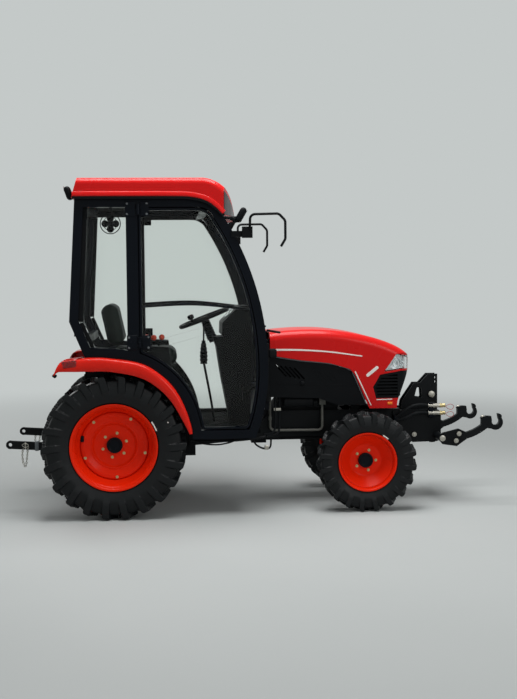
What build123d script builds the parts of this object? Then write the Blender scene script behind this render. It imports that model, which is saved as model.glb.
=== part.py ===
"""Compact cab tractor with front and rear three-point linkages, one STEP file per piece.

Millimetres, +X forward, +Y to the left, +Z up, ground at Z = 0.
Pieces are drawn from the rear axle line and moved to the middle of the length when saved.
"""
from math import cos, pi, radians, sin, sqrt, tan
import os

from build123d import *

# Wheels and tyres
WHEELBASE = 1615
REAR_TYRE_RADIUS = 455
REAR_TYRE_WIDTH = 220
REAR_RIM_RADIUS = 275
REAR_TRACK = 1000
REAR_LUGS = 34
FRONT_TYRE_RADIUS = 320
FRONT_TYRE_WIDTH = 156
FRONT_RIM_RADIUS = 190
FRONT_TRACK = 910
FRONT_LUGS = 30
LUG_ANGLE = 40
REAR_SHAFT_RADIUS = 35
SPINDLE_RADIUS = 30

# Reach of the linkages behind the rear axle and ahead of the front axle
REAR_REACH = 695
FRONT_OVERHANG = 940

# Running and fitting clearances
RUNNING_GAP = 0.4
CURVE_GAP = 0.5
DOOR_GAP = 6
PANEL_GAP = 5

# Cab
CAB_HALF = 555
PILLAR_DEPTH = 50
PILLAR_WIDTH = 55
CAB_TOP = 2006
SILL_Z = 495
B_PILLAR_REAR = 95
B_PILLAR_FRONT = 168
DOOR_RIM = 60
DOOR_DEPTH = 36
HINGE_HEIGHTS = (1080, 1905)
HINGE_TALL = 32
HINGE_KNUCKLE = 11
GLASS = 6
SHEET = 8
FLOOR_Z = 545
DECK_Z = 768
SCREEN_FOOT_Z = 1150
BELL_Z = 515
COVER_Z = 746
ROOF_RISE = 126
ROOF_OVERHANG = 30
ROOF_CORNER = 40
ARCH_INNER = 362
FENDER_OVERHANG = 70
LIP = 12

# Bonnet
BONNET_REAR = 1012
BONNET_HALF = 275
BONNET_SHELL = 10
NOSE_FOOT_Z = 640
HINGE_X, HINGE_Z = 1030, 1118
HINGE_PIN = 8

# Engine bay: where the engine starts, its drawn length and its distance from the front axle
BELL_FRONT = 1080
BAY_DRAWN = 400
AXLE_ROOM = 135
GRILLE_SLOTS = 7
VENT_PITCH = 30

# Running gear
RAIL_INNER, RAIL_OUTER = 110, 138
RAIL_Z = (480, 620)
TRANSFER_X = (900, 1000)
DRIVE_RADIUS = 14
KINGPIN_HALF = 330
KINGPIN_RADIUS = 22
PIVOT_Z = 420
BEAM_Z = 400
STEER_ARM = 150

# Front linkage
LIFT_AHEAD, LIFT_Z = 535, 437
LIFT_TUBE = 25
CRANK = 50
RAM_AHEAD, RAM_Z = 330, 455
FRONT_ARM_HALF = 306
ARM_PLATE = 16
HOOK_THICK = 32
HOOK_RADIUS = 50

# Rear linkage
LINK_X, LINK_Z = -130, 420
LINK_HALF = 340
LINK_PLATE = 20
LINK_END_Z = 455
ROCK_X, ROCK_Z = -195, 690
ROCK_RADIUS = 22
LIFT_ARM = 150

# Steering wheel
WHEEL_X, WHEEL_Z = 591, 1242
WHEEL_RADIUS = 180
WHEEL_TILT = 21

ROOF_TOP = CAB_TOP + ROOF_RISE
ROOF_HALF = CAB_HALF + ROOF_OVERHANG
FENDER_OUTER = CAB_HALF + FENDER_OVERHANG
FRONT_REACH = WHEELBASE + FRONT_OVERHANG
CENTRE_X = (FRONT_REACH - REAR_REACH) / 2
LIFT_X, RAM_X = WHEELBASE + LIFT_AHEAD, WHEELBASE + RAM_AHEAD
REAR_HALF = REAR_TRACK / 2
FRONT_HALF = FRONT_TRACK / 2
DOOR_HINGE_X = B_PILLAR_FRONT + DOOR_GAP / 2
DOOR_HINGE_Y = -CAB_HALF - HINGE_KNUCKLE - CURVE_GAP


def block(x, y, z):
    """Box between two limits on each axis."""
    size = [hi - lo for lo, hi in (x, y, z)]
    middle = [(hi + lo) / 2 for lo, hi in (x, y, z)]
    return Pos(*middle) * Box(*size)


def across(sketch, y_low, y_high):
    """Solid of a side-view sketch (X, Z) between two distances from the centre plane."""
    return extrude(Plane.XZ.offset(-y_high) * sketch, y_high - y_low, dir=(0, -1, 0))


def upward(sketch, z_low, z_high):
    """Solid of a plan-view sketch (X, Y) between two heights."""
    return extrude(Plane.XY.offset(z_low) * sketch, z_high - z_low, dir=(0, 0, 1))


def polygon(*points):
    """Flat sketch of straight edges through the points."""
    return Polygon(*points, align=None)


def bay(x):
    """Place in the engine bay or nose, which stretch and move with the front axle."""
    inside = min(max(x - BELL_FRONT, 0), BAY_DRAWN)
    return x + inside * ((WHEELBASE - AXLE_ROOM - BELL_FRONT) / BAY_DRAWN - 1)


def bay_polygon(*points):
    """Side-view sketch of straight edges in the engine bay or nose."""
    return polygon(*[(bay(x), z) for x, z in points])


def bay_block(x, y, z):
    """Box between two limits on each axis in the engine bay or nose."""
    return block((bay(x[0]), bay(x[1])), y, z)


def rod(start, end, radius):
    """Round bar between two points."""
    run = Vector(*end) - Vector(*start)
    low = (Align.CENTER, Align.CENTER, Align.MIN)
    return Plane(Vector(*start), z_dir=run) * Cylinder(radius, run.length, align=low)


def tube(points, radius, bend):
    """Round bar along a path with rounded bends."""
    path = FilletPolyline(*points, radius=bend)
    return sweep(Plane(path @ 0, z_dir=path % 0) * Circle(radius), path=path)


def both_sides(shape):
    """The piece and its mirror image across the centre plane."""
    return shape + mirror(shape, about=Plane.XZ)


def save(name, shape):
    """Write one piece in the frame of the whole tractor."""
    os.makedirs("parts", exist_ok=True)
    export_step(Pos(-CENTRE_X, 0, 0) * shape, "parts/" + name + ".step")


def faceted_ring(profile, sides):
    """Ring about the Y axis made of flat sides, with one flat facing the ground."""
    step = 2 * pi / sides
    rings = []
    for k in range(sides):
        turn = (k + 0.5) * step
        grow = 1 / cos(step / 2)
        rings.append([Vector(r * grow * sin(turn), y, -r * grow * cos(turn)) for y, r in profile])
    faces = []
    for k in range(sides):
        one, two = rings[k], rings[(k + 1) % sides]
        for i in range(len(profile)):
            j = (i + 1) % len(profile)
            faces.append(Face(Wire.make_polygon([one[i], one[j], two[j], two[i]], close=True)))
    return Solid(Shell(faces))


def bar_lug(side, tip, root, inner, outer, width):
    """Slanted tread bar from near the tyre's middle out over its shoulder, its corners at the tip radius."""
    lean = (outer - inner) * tan(radians(LUG_ANGLE)) / 2
    reach = lean + width / 2 / cos(radians(LUG_ANGLE))
    foot = polygon((-reach, side * inner), (reach - 2 * lean, side * inner),
                   (reach, side * outer), (2 * lean - reach, side * outer))
    return upward(foot, root, sqrt(tip ** 2 - reach ** 2)).solid()


def bead_seat(rim_radius):
    """Radius of the rim where the tyre's bead sits."""
    return 0.91 * rim_radius


def bead_half(width):
    """Half the distance between the tyre's beads."""
    return 0.34 * width


def tyre(radius, width, rim_radius, lugs):
    """Bar-lug farm tyre about the Y axis, its lug tips at the full radius."""
    tread = radius * 0.058
    crown, seat, flange = radius - tread, bead_seat(rim_radius) + 0.8, rim_radius + 4
    half, bead = width / 2, bead_half(width)
    shoulder, belly = crown - 0.02 * radius, (flange + crown) / 2
    outline = [(bead, seat), (bead, flange), (half, belly), (half - 8, shoulder)]
    ring = faceted_ring(outline + [(-y, r) for y, r in reversed(outline)], lugs)
    bars = [bar_lug(side, radius, shoulder - 0.04 * radius, 0.07 * width, half - 3, 0.075 * radius)
            for side in (1, -1)]
    return ring.fuse(*[Rot(Y=360 / lugs * k) * bars[k % 2] for k in range(lugs)])


def bolt_head(x, z, face, radius):
    """Hexagon bolt head that stands out from a wheel's face towards -Y."""
    return across(Pos(x, z) * RegularPolygon(radius, 6), face - 10, face + 4)


def rim(rim_radius, width, shaft, dish, hub_radius, ring_share, bolts, bolt_circle):
    """Pressed wheel about the Y axis, seen face at -Y, with a blind hub bored for its shaft."""
    seat, bead = bead_seat(rim_radius), bead_half(width) + CURVE_GAP
    edge, plate = bead + 8, 8
    section = polygon((seat - 6, -edge), (rim_radius, -edge), (rim_radius, -bead), (seat, -bead),
                      (seat, bead), (rim_radius, bead), (rim_radius, edge), (seat - 6, edge))
    rise = 0.3 * dish
    disc = [(seat - 4, rise), (ring_share * seat, rise), (0.56 * seat, dish), (hub_radius - 4, dish)]
    section += polygon(*disc, *[(r, y + plate) for r, y in reversed(disc)])
    hub_face, hub_back = dish - 0.45 * hub_radius, dish + 14
    section += polygon((0, hub_face), (hub_radius, hub_face), (hub_radius, hub_back), (0, hub_back))
    bore = shaft + RUNNING_GAP
    section -= polygon((0, hub_face + 12), (bore, hub_face + 12), (bore, hub_back + 1), (0, hub_back + 1))
    wheel = revolve(section, Axis.Y)
    for k in range(bolts):
        turn = 2 * pi * k / bolts
        wheel += bolt_head(bolt_circle * sin(turn), bolt_circle * cos(turn), dish, 11)
    return wheel, hub_face + 12, rise


# Wheels
rear_dish, front_dish = 0.23 * REAR_TYRE_WIDTH, 0.24 * FRONT_TYRE_WIDTH
rear_tyre = tyre(REAR_TYRE_RADIUS, REAR_TYRE_WIDTH, REAR_RIM_RADIUS, REAR_LUGS)
front_tyre = tyre(FRONT_TYRE_RADIUS, FRONT_TYRE_WIDTH, FRONT_RIM_RADIUS, FRONT_LUGS)
rear_rim, rear_stop, ring_face = rim(REAR_RIM_RADIUS, REAR_TYRE_WIDTH, REAR_SHAFT_RADIUS, rear_dish, 50, 0.74, 6, 78)
front_rim, front_stop, _ = rim(FRONT_RIM_RADIUS, FRONT_TYRE_WIDTH, SPINDLE_RADIUS, front_dish, 48, 0.83, 5, 68)
# Rear wheels have a second ring of bolts and a hole for the tyre's valve
ring_middle = 0.82 * bead_seat(REAR_RIM_RADIUS)
for turn in range(0, 360, 60):
    rear_rim += bolt_head(ring_middle * sin(radians(turn)), ring_middle * cos(radians(turn)), ring_face, 12)
rear_rim -= rod((-ring_middle, ring_face - 9, 0), (-ring_middle, ring_face + 18, 0), 13)
rear_place = Pos(0, -REAR_HALF, REAR_TYRE_RADIUS)
front_place = Pos(WHEELBASE, -FRONT_HALF, FRONT_TYRE_RADIUS)
for end, place, rubber, steel in (("rear", rear_place, rear_tyre, rear_rim),
                                  ("front", front_place, front_tyre, front_rim)):
    for kind, shape in (("tyre", rubber), ("rim", steel)):
        save(kind + "_" + end + "_right", place * shape)
        save(kind + "_" + end + "_left", mirror(place * shape, about=Plane.XZ))

# Side view of the cab's frame, from the roof rail round to the wheel arch
arch_start, arch_middle, arch_top = (495, 530), (365, 845), (0, 1018)
arch_rear = (-176, 1030)
cab_edges = [
    Line((-219, CAB_TOP), (540, CAB_TOP)),
    ThreePointArc((540, CAB_TOP), (640, 1974), (693, 1906)),
    ThreePointArc((693, 1906), (877, 1525), (973, 989)),
    ThreePointArc((973, 989), (958, 736), (890, SILL_Z)),
    Line((890, SILL_Z), (495, SILL_Z)),
    Line((495, SILL_Z), arch_start),
    ThreePointArc(arch_start, arch_middle, arch_top),
    Line(arch_top, arch_rear),
    Line(arch_rear, (-264, 1243)),
    Line((-264, 1243), (-219, CAB_TOP)),
]
cab_outline = make_face(Wire(cab_edges))
cab_hole = offset(cab_outline, -PILLAR_WIDTH)
behind_post = Pos(B_PILLAR_REAR - 2000, 1250) * Rectangle(4000, 4000)
before_post = Pos(B_PILLAR_FRONT + 2000, 1250) * Rectangle(4000, 4000)
window_hole, door_hole = cab_hole & behind_post, cab_hole & before_post
side_frame = cab_outline - window_hole - door_hole
CAB_INNER = CAB_HALF - PILLAR_DEPTH

frame_right = across(side_frame, -CAB_HALF, -CAB_INNER)
for z in HINGE_HEIGHTS:
    leaf = block((B_PILLAR_REAR + 8, DOOR_HINGE_X), (-CAB_HALF - 6, -CAB_HALF), (z, z + HINGE_TALL))
    leaf += rod((DOOR_HINGE_X, DOOR_HINGE_Y, z), (DOOR_HINGE_X, DOOR_HINGE_Y, z + HINGE_TALL), HINGE_KNUCKLE)
    frame_right += leaf + rod((DOOR_HINGE_X, DOOR_HINGE_Y, z), (DOOR_HINGE_X, DOOR_HINGE_Y, z + 2 * HINGE_TALL), 6)
save("cab_frame_right", frame_right)
save("cab_frame_left", mirror(frame_right, about=Plane.XZ))

# Bars that join the two side frames
front_header = block((555, 610), (-CAB_INNER, CAB_INNER), (CAB_TOP - 76, CAB_TOP - 30))
rear_header = block((-190, -140), (-CAB_INNER, CAB_INNER), (CAB_TOP - 66, CAB_TOP - 16))
scuttle_bar = block((918, 952), (-CAB_INNER, CAB_INNER), (SCREEN_FOOT_Z - 30, SCREEN_FOOT_Z))
rear_bar = block((-190, -150), (-CAB_INNER, CAB_INNER), (1100, 1150))
save("cab_crossbars", front_header + rear_header + scuttle_bar + rear_bar)

# Windscreen and bulkhead follow the front edge of the side frames
front_skin = cab_outline - offset(cab_outline, -GLASS)
screen_span = CAB_INNER - CURVE_GAP
screen_part = Pos(1000, (SCREEN_FOOT_Z + 1970) / 2) * Rectangle(700, 1970 - SCREEN_FOOT_Z)
wall_part = Pos(1000, (FLOOR_Z + SCREEN_FOOT_Z) / 2) * Rectangle(300, SCREEN_FOOT_Z - FLOOR_Z)
save("windscreen", across(front_skin & screen_part, -screen_span, screen_span))
save("firewall", across(front_skin & wall_part, -screen_span, screen_span))

# Rear window between the rear posts and the two side windows
rear_glass = across(polygon((-197, 1940), (-191, 1940), (-233, 1150), (-239, 1150)), -CAB_INNER, CAB_INNER)
side_glass = across(offset(window_hole, -CURVE_GAP), -CAB_INNER - 28, -CAB_INNER - 28 + GLASS)
save("rear_window", rear_glass)
save("quarter_windows", both_sides(side_glass))

# Doors hang on the B posts
door_shape = offset(door_hole, -DOOR_GAP)
door_glass_shape = offset(door_shape, -DOOR_RIM)
door_inner = CAB_HALF - DOOR_DEPTH
door_ring = across(door_shape - door_glass_shape, -CAB_HALF, -door_inner)
grab = [(215, -door_inner + 4, 1330), (235, -door_inner + 30, 1335), (520, -door_inner + 30, 1345),
        (800, -door_inner + 30, 1310), (830, -door_inner + 4, 1304)]
handle = tube(grab, 9, 12)
door_frame = door_ring + handle
for z in HINGE_HEIGHTS:
    low, high = z + HINGE_TALL + CURVE_GAP, z + 2 * HINGE_TALL
    leaf = block((DOOR_HINGE_X, B_PILLAR_FRONT + 68), (-CAB_HALF - 6, -CAB_HALF), (low, high))
    leaf += rod((DOOR_HINGE_X, DOOR_HINGE_Y, low), (DOOR_HINGE_X, DOOR_HINGE_Y, high), HINGE_KNUCKLE)
    door_frame += leaf
    door_frame -= rod((DOOR_HINGE_X, DOOR_HINGE_Y, z), (DOOR_HINGE_X, DOOR_HINGE_Y, high + 1), 6 + RUNNING_GAP)
door_pane = across(offset(door_glass_shape, -CURVE_GAP), -CAB_HALF + 14, -CAB_HALF + 14 + GLASS)
for side in ("right", "left"):
    ring, pane = (door_frame, door_pane) if side == "right" else (
        mirror(door_frame, about=Plane.XZ), mirror(door_pane, about=Plane.XZ))
    save("door_frame_" + side, ring)
    save("door_glass_" + side, pane)

# Roof shell over the frame, bowed at the front, with its lining below
roof_side = make_face(Wire([
    Line((-236, CAB_TOP + CURVE_GAP), (-200, ROOF_TOP)),
    Line((-200, ROOF_TOP), (575, ROOF_TOP)),
    ThreePointArc((575, ROOF_TOP), (690, ROOF_TOP - ROOF_RISE * 0.35), (765, CAB_TOP - 16)),
    Line((765, CAB_TOP - 16), (800, CAB_TOP - 111)),
    Line((800, CAB_TOP - 111), (600, CAB_TOP - 111)),
    Line((600, CAB_TOP - 111), (400, CAB_TOP + CURVE_GAP)),
    Line((400, CAB_TOP + CURVE_GAP), (-236, CAB_TOP + CURVE_GAP)),
]))
roof_plan = make_face(Wire([
    Line((-240, -ROOF_HALF), (700, -ROOF_HALF)),
    ThreePointArc((700, -ROOF_HALF), (800, 0), (700, ROOF_HALF)),
    Line((700, ROOF_HALF), (-240, ROOF_HALF)),
    Line((-240, ROOF_HALF), (-240, -ROOF_HALF)),
]))
roof = across(roof_side, -ROOF_HALF, ROOF_HALF)
roof_edges = roof.edges().filter_by(Axis.X).filter_by(lambda e: e.center().Z > ROOF_TOP - 1)
roof = fillet(roof_edges, min(ROOF_CORNER, ROOF_RISE / 3))
roof = roof & upward(roof_plan, CAB_TOP - 200, ROOF_TOP + 1)
roof -= across(offset(cab_outline, CURVE_GAP), -ROOF_HALF - 1, ROOF_HALF + 1)
roof -= block((-190, 560), (-ROOF_HALF + 30, ROOF_HALF - 30), (CAB_TOP - 10, ROOF_TOP - 24))
save("roof", roof)
save("roof_lining", block((-138, 553), (-CAB_INNER, CAB_INNER), (CAB_TOP - 14, CAB_TOP)))

# Cab floor, seat deck and rear wall in one tub
floor = block((500, 925), (-CAB_INNER, CAB_INNER), (FLOOR_Z - 25, FLOOR_Z))
riser = block((492, 500), (-ARCH_INNER, ARCH_INNER), (FLOOR_Z - 25, DECK_Z))
deck = block((-176, 500), (-ARCH_INNER, ARCH_INNER), (DECK_Z - SHEET, DECK_Z))
rear_wall = block((-184, -176), (-ARCH_INNER, ARCH_INNER), (DECK_Z - SHEET, 1100))
deck_mount = block((40, 160), (-90, 90), (COVER_Z, DECK_Z - SHEET))
floor_mount = block((690, 800), (-110, 110), (BELL_Z, FLOOR_Z - 25))
save("cab_floor", floor + riser + deck + rear_wall + deck_mount + floor_mount)

# Wheel arches under the cab sides: a curved sheet and an inner wall
arch_edges = [ThreePointArc(arch_start, arch_middle, arch_top), Line(arch_top, arch_rear)]
arch_under = make_face(Wire([*arch_edges, Line(arch_rear, (-176, SILL_Z)), Line((-176, SILL_Z), (495, SILL_Z)),
                             Line((495, SILL_Z), arch_start)]))
arch_skin = offset(arch_under, -CURVE_GAP)
arch_band = arch_skin - offset(arch_skin, -SHEET)
arch_band &= polygon((-170, 1100), (600, 1100), (600, 530), (440, 530), (300, 760), (-170, 960))
arch_wall = arch_skin & (Pos(0, 880) * Rectangle(1200, 640))
arch_sheet = across(arch_band, -CAB_HALF, -ARCH_INNER)
arch_side = across(arch_wall, -ARCH_INNER - SHEET, -ARCH_INNER)
save("wheel_arches", both_sides(arch_sheet + arch_side))

# Painted fenders outside the arches, running back past the cab
fender_top = [ThreePointArc(arch_start, arch_middle, arch_top), Line(arch_top, (-180, 1022)),
              Line((-180, 1022), (-318, 998)), Line((-318, 998), (-361, 922))]
fender_low = [Line((-361, 922), (-330, 936)), Line((-330, 936), (0, 936)),
              ThreePointArc((0, 936), (330, 790), (478, 530)), Line((478, 530), arch_start)]
fender_face = offset(make_face(Wire([*fender_top, *fender_low])), -CURVE_GAP)
fender_under = make_face(Wire([*fender_top, Line((-361, 922), (-361, 500)), Line((-361, 500), (495, 500)),
                               Line((495, 500), arch_start)]))
fender_skin = offset(fender_under, -CURVE_GAP)
fender_band = (fender_skin - offset(fender_skin, -SHEET)) & fender_face
lip = across(fender_face, -FENDER_OUTER, -FENDER_OUTER + LIP)
top_sheet = across(fender_band, -FENDER_OUTER, -CAB_HALF - CURVE_GAP)
tail_part = Pos(-290, 950) * Rectangle(226, 200)
tail_sheet = across(fender_band & tail_part, -FENDER_OUTER, -ARCH_INNER - 30)
fender = lip + top_sheet + tail_sheet
save("fender_right", fender)
save("fender_left", mirror(fender, about=Plane.XZ))

# Rear lamps on the fender tails
tail_top = [(x, 1022 - CURVE_GAP + (x + 180) * 24 / 138) for x in (-305, -215)]
tail_side = polygon(*tail_top, (-222, tail_top[1][1] + 30), (-298, tail_top[0][1] + 30))
tail_lamp = across(tail_side, -FENDER_OUTER + 20, -FENDER_OUTER + 150)
save("tail_lamps", both_sides(tail_lamp))

# Work lamps on brackets at the front and rear of the roof line
front_lamp = Pos(812, 0, 1900) * Rot(Y=28) * Box(42, 90, 100)
front_lamp = Pos(0, -CAB_HALF + 46, 0) * front_lamp
front_stay = rod((705, -CAB_INNER - 20, 1885), (805, -CAB_INNER - 10, 1895), 9)
rear_lamp = Pos(-254, -CAB_HALF + 46, 2040) * Rot(Y=-20) * Box(40, 90, 80)
lamps = front_lamp + front_stay
lamps -= across(cab_outline, -CAB_HALF - 1, -CAB_INNER + 1)
save("work_lamps", both_sides(lamps + rear_lamp - roof))

# Mirror arms: a bent tube in a clamp on each front pillar
arm = tube([(862, -CAB_HALF - 20, 1772), (864, -CAB_HALF - 60, 1900), (1040, -CAB_HALF - 75, 1903),
            (1080, -CAB_HALF - 80, 1860), (1080, -CAB_HALF - 80, 1746), (1052, -CAB_HALF - 80, 1700)], 8, 32)
clamp = block((748, 872), (-CAB_HALF - 16, -CAB_HALF), (1762, 1800))
clamp += block((815, 880), (-CAB_HALF - 36, -CAB_HALF - 4), (1756, 1826))
save("mirrors", both_sides(arm + clamp))

# Dashboard, steering column and wheel
axis_dir = Vector(-sin(radians(WHEEL_TILT)), 0, cos(radians(WHEEL_TILT)))
hub = Vector(WHEEL_X, 0, WHEEL_Z)
column_foot = hub - axis_dir * 170
column = rod(tuple(column_foot), tuple(hub - axis_dir * 22), 26) + rod(tuple(column_foot), tuple(hub), 12)
hood = polygon((700, 1135), (703, 1215), (815, 1325), (875, 1325), (905, 1150), (905, 1060), (787, 1060))
pedestal = polygon((640, 1120), (905, 1120), (888, FLOOR_Z), (755, FLOOR_Z), (700, 837), (668, 1052))
dash = across(hood, -230, 230) + across(pedestal, -130, 130)
dash -= rod(tuple(column_foot), tuple(hub), 26 + CURVE_GAP)
save("dashboard", dash)
save("steering_column", column)
wheel_plane = Plane(hub, z_dir=axis_dir)
hand_wheel = Torus(WHEEL_RADIUS - 14, 14) + Pos(0, 0, -6) * Cylinder(34, 30)
for turn in (90, 210, 330):
    hand_wheel += Rot(Z=turn) * block((20, WHEEL_RADIUS - 14), (-14, 14), (-9, 3))
hand_wheel -= Pos(0, 0, -16) * Cylinder(12 + RUNNING_GAP, 33)
save("steering_wheel", wheel_plane * hand_wheel)

# Seat
seat_base = block((20, 330), (-170, 170), (DECK_Z, 930))
seat_pan = block((-60, 400), (-225, 225), (930, 946))
cushion = fillet(block((-40, 420), (-235, 235), (946, 1050)).edges(), 35)
back_side = polygon((-30, 1050), (80, 1050), (8, 1340), (-36, 1372), (-92, 1340), (-75, 1120))
backrest = across(back_side, -235, 235)
backrest = fillet(backrest.edges().filter_by(Axis.Y), 18)
save("seat_base", seat_base + seat_pan)
save("seat_cushion", cushion)
save("seat_back", backrest)

# Consoles on the wheel arches with their levers, and the pedals
console = across(polygon((120, 980), (215, 950), (330, 860), (385, 860), (350, 1075), (140, 1090)), -CAB_INNER + 10, -ARCH_INNER)
console -= across(offset(arch_skin, CURVE_GAP), -600, 0)
save("side_consoles", both_sides(console))
levers = Part()
for x, y in ((190, -400), (235, -455), (285, -410)):
    levers += rod((x, y, 1078), (x + 20, y, 1128), 6) + Pos(x + 22, y, 1135) * Sphere(17)
levers -= both_sides(console)
pedals = Part()
for y in (-190, 150, 230):
    pedals += block((835, 845), (y, y + 60), (700, 780)) + rod((840, y + 30, 740), (980, y + 30, 810), 8)
pedals &= across(offset(cab_outline, -GLASS - CURVE_GAP), -CAB_INNER, CAB_INNER)
save("control_levers", levers + pedals)

# Bonnet: a shell with a rounded nose, cut away for the side panels, lamps and grille
def bonnet_body(inset, tail, foot):
    """Outer form of the bonnet, pulled in by an inset."""
    nose = bay(1968) - inset
    top = [(tail, 1150), (bay(1240), 1166), (bay(1450), 1157), (bay(1655), 1120), (bay(1827), 1063),
           (nose - 43, 1003), (nose, 948)]
    front = [top[-1], (nose - 110, 690), (nose - 116, foot)]
    line = make_face(Wire([Spline(*top), Line(front[0], front[1]), Line(front[1], front[2]),
                           Line(front[2], (tail, foot)), Line((tail, foot), top[0])]))
    half = BONNET_HALF - inset
    body = across(line, -half, half)
    crown = body.edges().filter_by(GeomType.BSPLINE)
    body = fillet(crown, 60)
    cheek, brow = nose - 138, nose - 23
    plan = make_face(Wire([
        Line((tail - 1, half), (cheek, half)),
        ThreePointArc((cheek, half), (nose - 63 + inset / 2, half - 25), (brow, 170)),
        ThreePointArc((brow, 170), (nose + 7, 0), (brow, -170)),
        ThreePointArc((brow, -170), (nose - 63 + inset / 2, 25 - half), (cheek, -half)),
        Line((cheek, -half), (tail - 1, -half)),
        Line((tail - 1, -half), (tail - 1, half)),
    ]))
    return Pos(0, 0, -inset) * (body & upward(plan, foot - 1, 1300))


skin = bonnet_body(0, BONNET_REAR, NOSE_FOOT_Z)
shell = skin - bonnet_body(BONNET_SHELL, BONNET_REAR - 60, NOSE_FOOT_Z - 60)
panel_line = [(1000, 1003), (1077, 989), (1209, 967), (1408, 944), (1541, 903), (1574, 863), (1673, 630)]
below = bay_polygon(*panel_line, (1000, 630))
lamp_shape = bay_polygon((1767, 881), (1852, 1000), (1990, 975), (1990, 899), (1880, 899))
grille_shape = bay_polygon((1741, 862), (1694, 781), (1713, 706), (1990, 706), (1990, 886), (1880, 886), (1767, 868))
bonnet = shell - across(below, -400, 400) - across(grille_shape, -400, 400)
bonnet -= across(lamp_shape, -400, -95) + across(lamp_shape, 95, 400)
ear_face = Pos(HINGE_X, HINGE_Z) * Circle(20) + polygon(
    (HINGE_X - 18, HINGE_Z), (HINGE_X + 18, HINGE_Z), (HINGE_X + 18, 1160), (HINGE_X - 18, 1160))
ear_face -= Pos(HINGE_X, HINGE_Z) * Circle(HINGE_PIN + RUNNING_GAP)
ear = across(ear_face, 196, 208) & skin
save("bonnet", bonnet + both_sides(ear))
lens = (skin - bonnet_body(18, BONNET_REAR - 60, NOSE_FOOT_Z - 60)) & across(offset(lamp_shape, -CURVE_GAP), -400, 400)
save("headlamps", lens - bay_block((1700, 2000), (-96, 96), (600, 1200)))
mesh = (bonnet_body(2, BONNET_REAR, NOSE_FOOT_Z - 2) - bonnet_body(14, BONNET_REAR - 60, NOSE_FOOT_Z - 60))
mesh &= across(offset(grille_shape, -CURVE_GAP), -400, 400)
# Grille slots in the two cheeks and, beside a middle post, in the nose
slot_pitch = 150 / GRILLE_SLOTS
for k in range(GRILLE_SLOTS):
    z = 724 + slot_pitch * k
    cheek_slot = offset(grille_shape, -16) & (Pos(bay(1770), z + slot_pitch / 4) * Rectangle(180, slot_pitch / 2))
    mesh -= both_sides(across(cheek_slot, 120, 400))
    mesh -= both_sides(bay_block((1800, 2000), (9, 128), (z, z + slot_pitch / 2)))
save("grille", mesh)

# Bulkhead at the back of the engine bay carries the bonnet's hinge
def bell_top(x):
    """Height of the bell housing's sloping top."""
    return BELL_Z + (x - 935) * (690 - BELL_Z) / (BELL_FRONT - 935)


bulkhead = block((976, 1004), (-240, 240), (640, 1098))
bulkhead += across(polygon((976, bell_top(976)), (1004, bell_top(1004)), (1004, 640), (976, 640)), -120, 120)
lug_face = polygon((1004, 1060), (1004, 1098), (HINGE_X - 6, HINGE_Z + 14), (HINGE_X + 14, HINGE_Z + 8),
                   (HINGE_X + 14, HINGE_Z - 14))
hinge = across(lug_face, 178, 190) + rod((HINGE_X, 178, HINGE_Z), (HINGE_X, 212, HINGE_Z), HINGE_PIN)
save("bulkhead", bulkhead + both_sides(hinge))

# Black panels beside the engine, held off the block by stays, with slanted vents and a round latch
panel_face = bay_polygon(*[(x - 4, z - PANEL_GAP) for x, z in panel_line[:-1]], (1655, 660), (1450, 668),
                         (1330, 712), (1008, 724)) & (Pos(bay(1008) + 1000, 900) * Rectangle(2000, 1000))
for k in range(max(1, int((bay(1210) - bay(1060)) / VENT_PITCH))):
    panel_face -= Pos(bay(1085) + VENT_PITCH * k, 897 - 5 * k) * Rot(Z=-48) * SlotOverall(105, 10)
panel = across(panel_face, -BONNET_HALF + 17, -BONNET_HALF + 25)
panel += rod((bay(1225), -BONNET_HALF + 9, 812), (bay(1225), -BONNET_HALF + 20, 812), 13)
for x in (bay(1140), bay(1400)):
    panel += rod((x, -BONNET_HALF + 20, 760), (x, -140, 760), 8)
save("side_panels", both_sides(panel))

# Engine: sump, block, head and cover, with its filter, starter, pump, fan hub, alternator and manifold
engine = bay_block((1080, 1480), (-105, 105), (440, 640)) + bay_block((1080, 1480), (-140, 140), (640, 800))
engine += bay_block((1100, 1460), (-110, 110), (800, 905)) + bay_block((1115, 1445), (-80, 80), (905, 965))
engine += bay_block((1150, 1250), (-RAIL_INNER, RAIL_INNER), (520, 600))
engine += rod((bay(1110), -182, 690), (bay(1300), -182, 690), 40) + bay_block((1130, 1290), (-170, -130), (660, 720))
engine += rod((bay(1310), -182, 678), (bay(1330), -182, 678), 28) + rod((bay(1200), -90, 780), (bay(1200), -210, 780), 38)
engine += rod((bay(1480), 0, 760), (bay(1510), 0, 760), 85) + rod((bay(1440), 150, 850), (bay(1520), 150, 850), 55)
engine += rod((bay(1130), 150, 880), (bay(1420), 150, 880), 42) + bay_block((1180, 1380), (100, 160), (850, 900))
engine += bay_block((1290, 1320), (-184, -130), (655, 690))
save("engine", engine)

# Radiator on the front rails
radiator = bay_block((1560, 1620), (-200, 200), (640, 1000)) + both_sides(
    bay_block((1560, 1620), (RAIL_INNER, RAIL_OUTER), (RAIL_Z[1], 640)))
save("radiator", radiator)

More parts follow.
